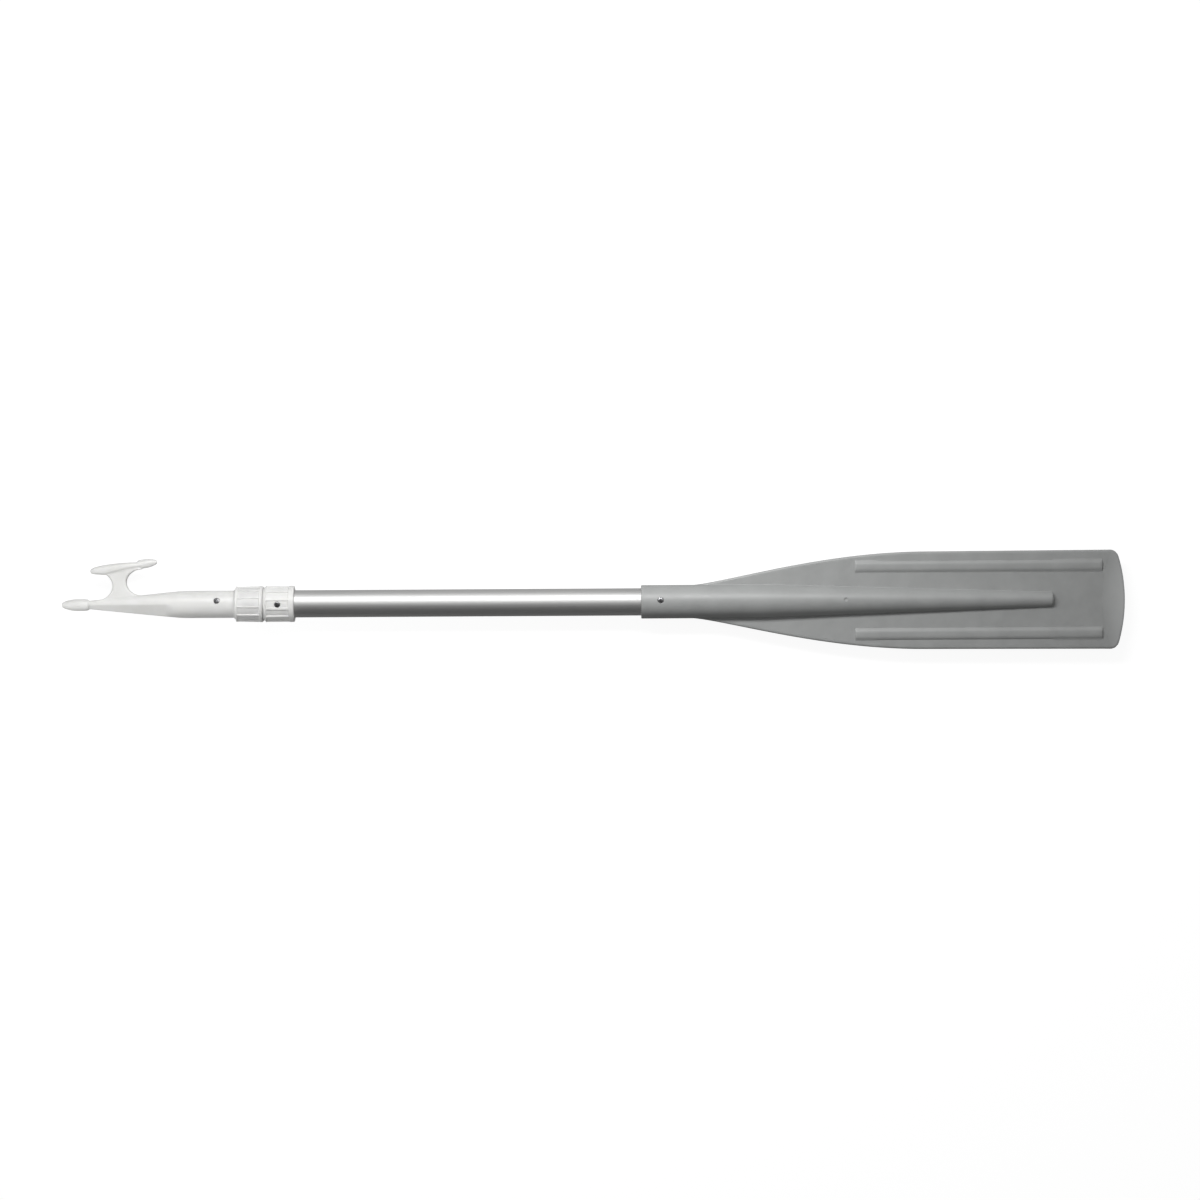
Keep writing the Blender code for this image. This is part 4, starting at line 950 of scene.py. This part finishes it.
carried = {
    "outer_tube_plug": rubber, "friction_ring": rubber, "inner_tube_seal": foam,
    "collet": acetal, "guide_bush": acetal, "tail_plug": acetal,
    "thrust_washer": stainless, "tail_washer": stainless, "tail_screw": stainless,
}
for node, finish in carried.items():
    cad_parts[node].material_slots[0].material = finish


def make_floor():
    """A plain pale floor, near white to the camera. Gloss sees it dimmer: a ramp from -Y to +Y, and
    at least NEAR_GLOSS close under the shaft."""
    bpy.ops.mesh.primitive_plane_add(size=30.0, location=(0.0, 0.0, FLOOR_LEVEL))
    floor = bpy.context.object
    floor.name = "floor"
    material, shader, add, links = new_finish("floor", (0.2, 0.2, 0.2), 1.0)
    shader.inputs["Specular IOR Level"].default_value = 0.0
    shader.inputs["Emission Color"].default_value = (1.0, 1.0, 1.0, 1.0)
    rays = add("ShaderNodeLightPath").outputs
    side = position(add)["Y"]
    away = worked(add, "ABSOLUTE", side)
    near = mapped(add, away, *NEAR_EDGE, NEAR_GLOSS, 0.0, interpolation_type="SMOOTHSTEP")
    lit = mapped(add, side, -SIDE_REACH, SIDE_REACH, *SIDE_GLOSS)
    gloss = worked(add, "MULTIPLY", worked(add, "MAXIMUM", near, lit), rays["Is Glossy Ray"])
    seen = worked(add, "MAXIMUM", rays["Is Camera Ray"], rays["Is Transmission Ray"])
    seen = worked(add, "MULTIPLY", seen, FLOOR_SEEN)
    links.new(worked(add, "MAXIMUM", gloss, seen), shader.inputs["Emission Strength"])
    floor.data.materials.append(material)


def make_world():
    """Soft light from all round, weaker from -Y than from +Y, and white behind the oar."""
    world = bpy.data.worlds.new("studio")
    bpy.context.scene.world = world
    world.use_nodes = True
    tree = world.node_tree
    add, background = adder(tree), tree.nodes["Background"]
    direction = add("ShaderNodeTexCoord").outputs["Generated"]
    side = add("ShaderNodeSeparateXYZ", {"Vector": direction}).outputs["Y"]
    light = mapped(add, side, -1.0, 1.0, *WORLD_LIGHT)
    white = worked(add, "MAXIMUM", add("ShaderNodeLightPath").outputs["Is Camera Ray"], light)
    tree.links.new(white, background.inputs["Strength"])
    background.inputs["Color"].default_value = (1.0, 1.0, 1.0, 1.0)


def make_lamp(name, along, length, width, lean, distance, power):
    """A soft box over the oar, leaning from straight up towards +Y, that the camera doesn't see."""
    lamp = bpy.data.lights.new(name, "AREA")
    lamp.shape = "RECTANGLE"
    lamp.size, lamp.size_y, lamp.energy = length, width, power
    obj = bpy.data.objects.new(name, lamp)
    bpy.context.scene.collection.objects.link(obj)
    obj.location = (along, distance * math.sin(lean), AXIS_HEIGHT + distance * math.cos(lean))
    obj.rotation_euler = (-lean, 0.0, 0.0)
    obj.visible_camera = False
    return obj


def make_camera():
    """A long lens straight above the oar, turned a little as in the photograph."""
    data = bpy.data.cameras.new("camera")
    camera = bpy.data.objects.new("camera", data)
    bpy.context.scene.collection.objects.link(camera)
    camera.location = CAMERA_PLACE
    camera.rotation_euler = (0.0, 0.0, CAMERA_TURN)
    data.sensor_width = SENSOR
    data.lens = LENS
    bpy.context.scene.camera = camera


make_floor()
make_world()
make_lamp("soft_box", along=-0.14, length=0.98, width=0.17, lean=math.radians(37.0), distance=0.8, power=7.1)
fill = make_lamp(
    "hook_fill", along=-0.97, length=0.84, width=0.30, lean=math.radians(-45.0), distance=0.5, power=3.1
)
fill.visible_glossy = False
make_camera()
bpy.context.scene.view_settings.view_transform = "Standard"
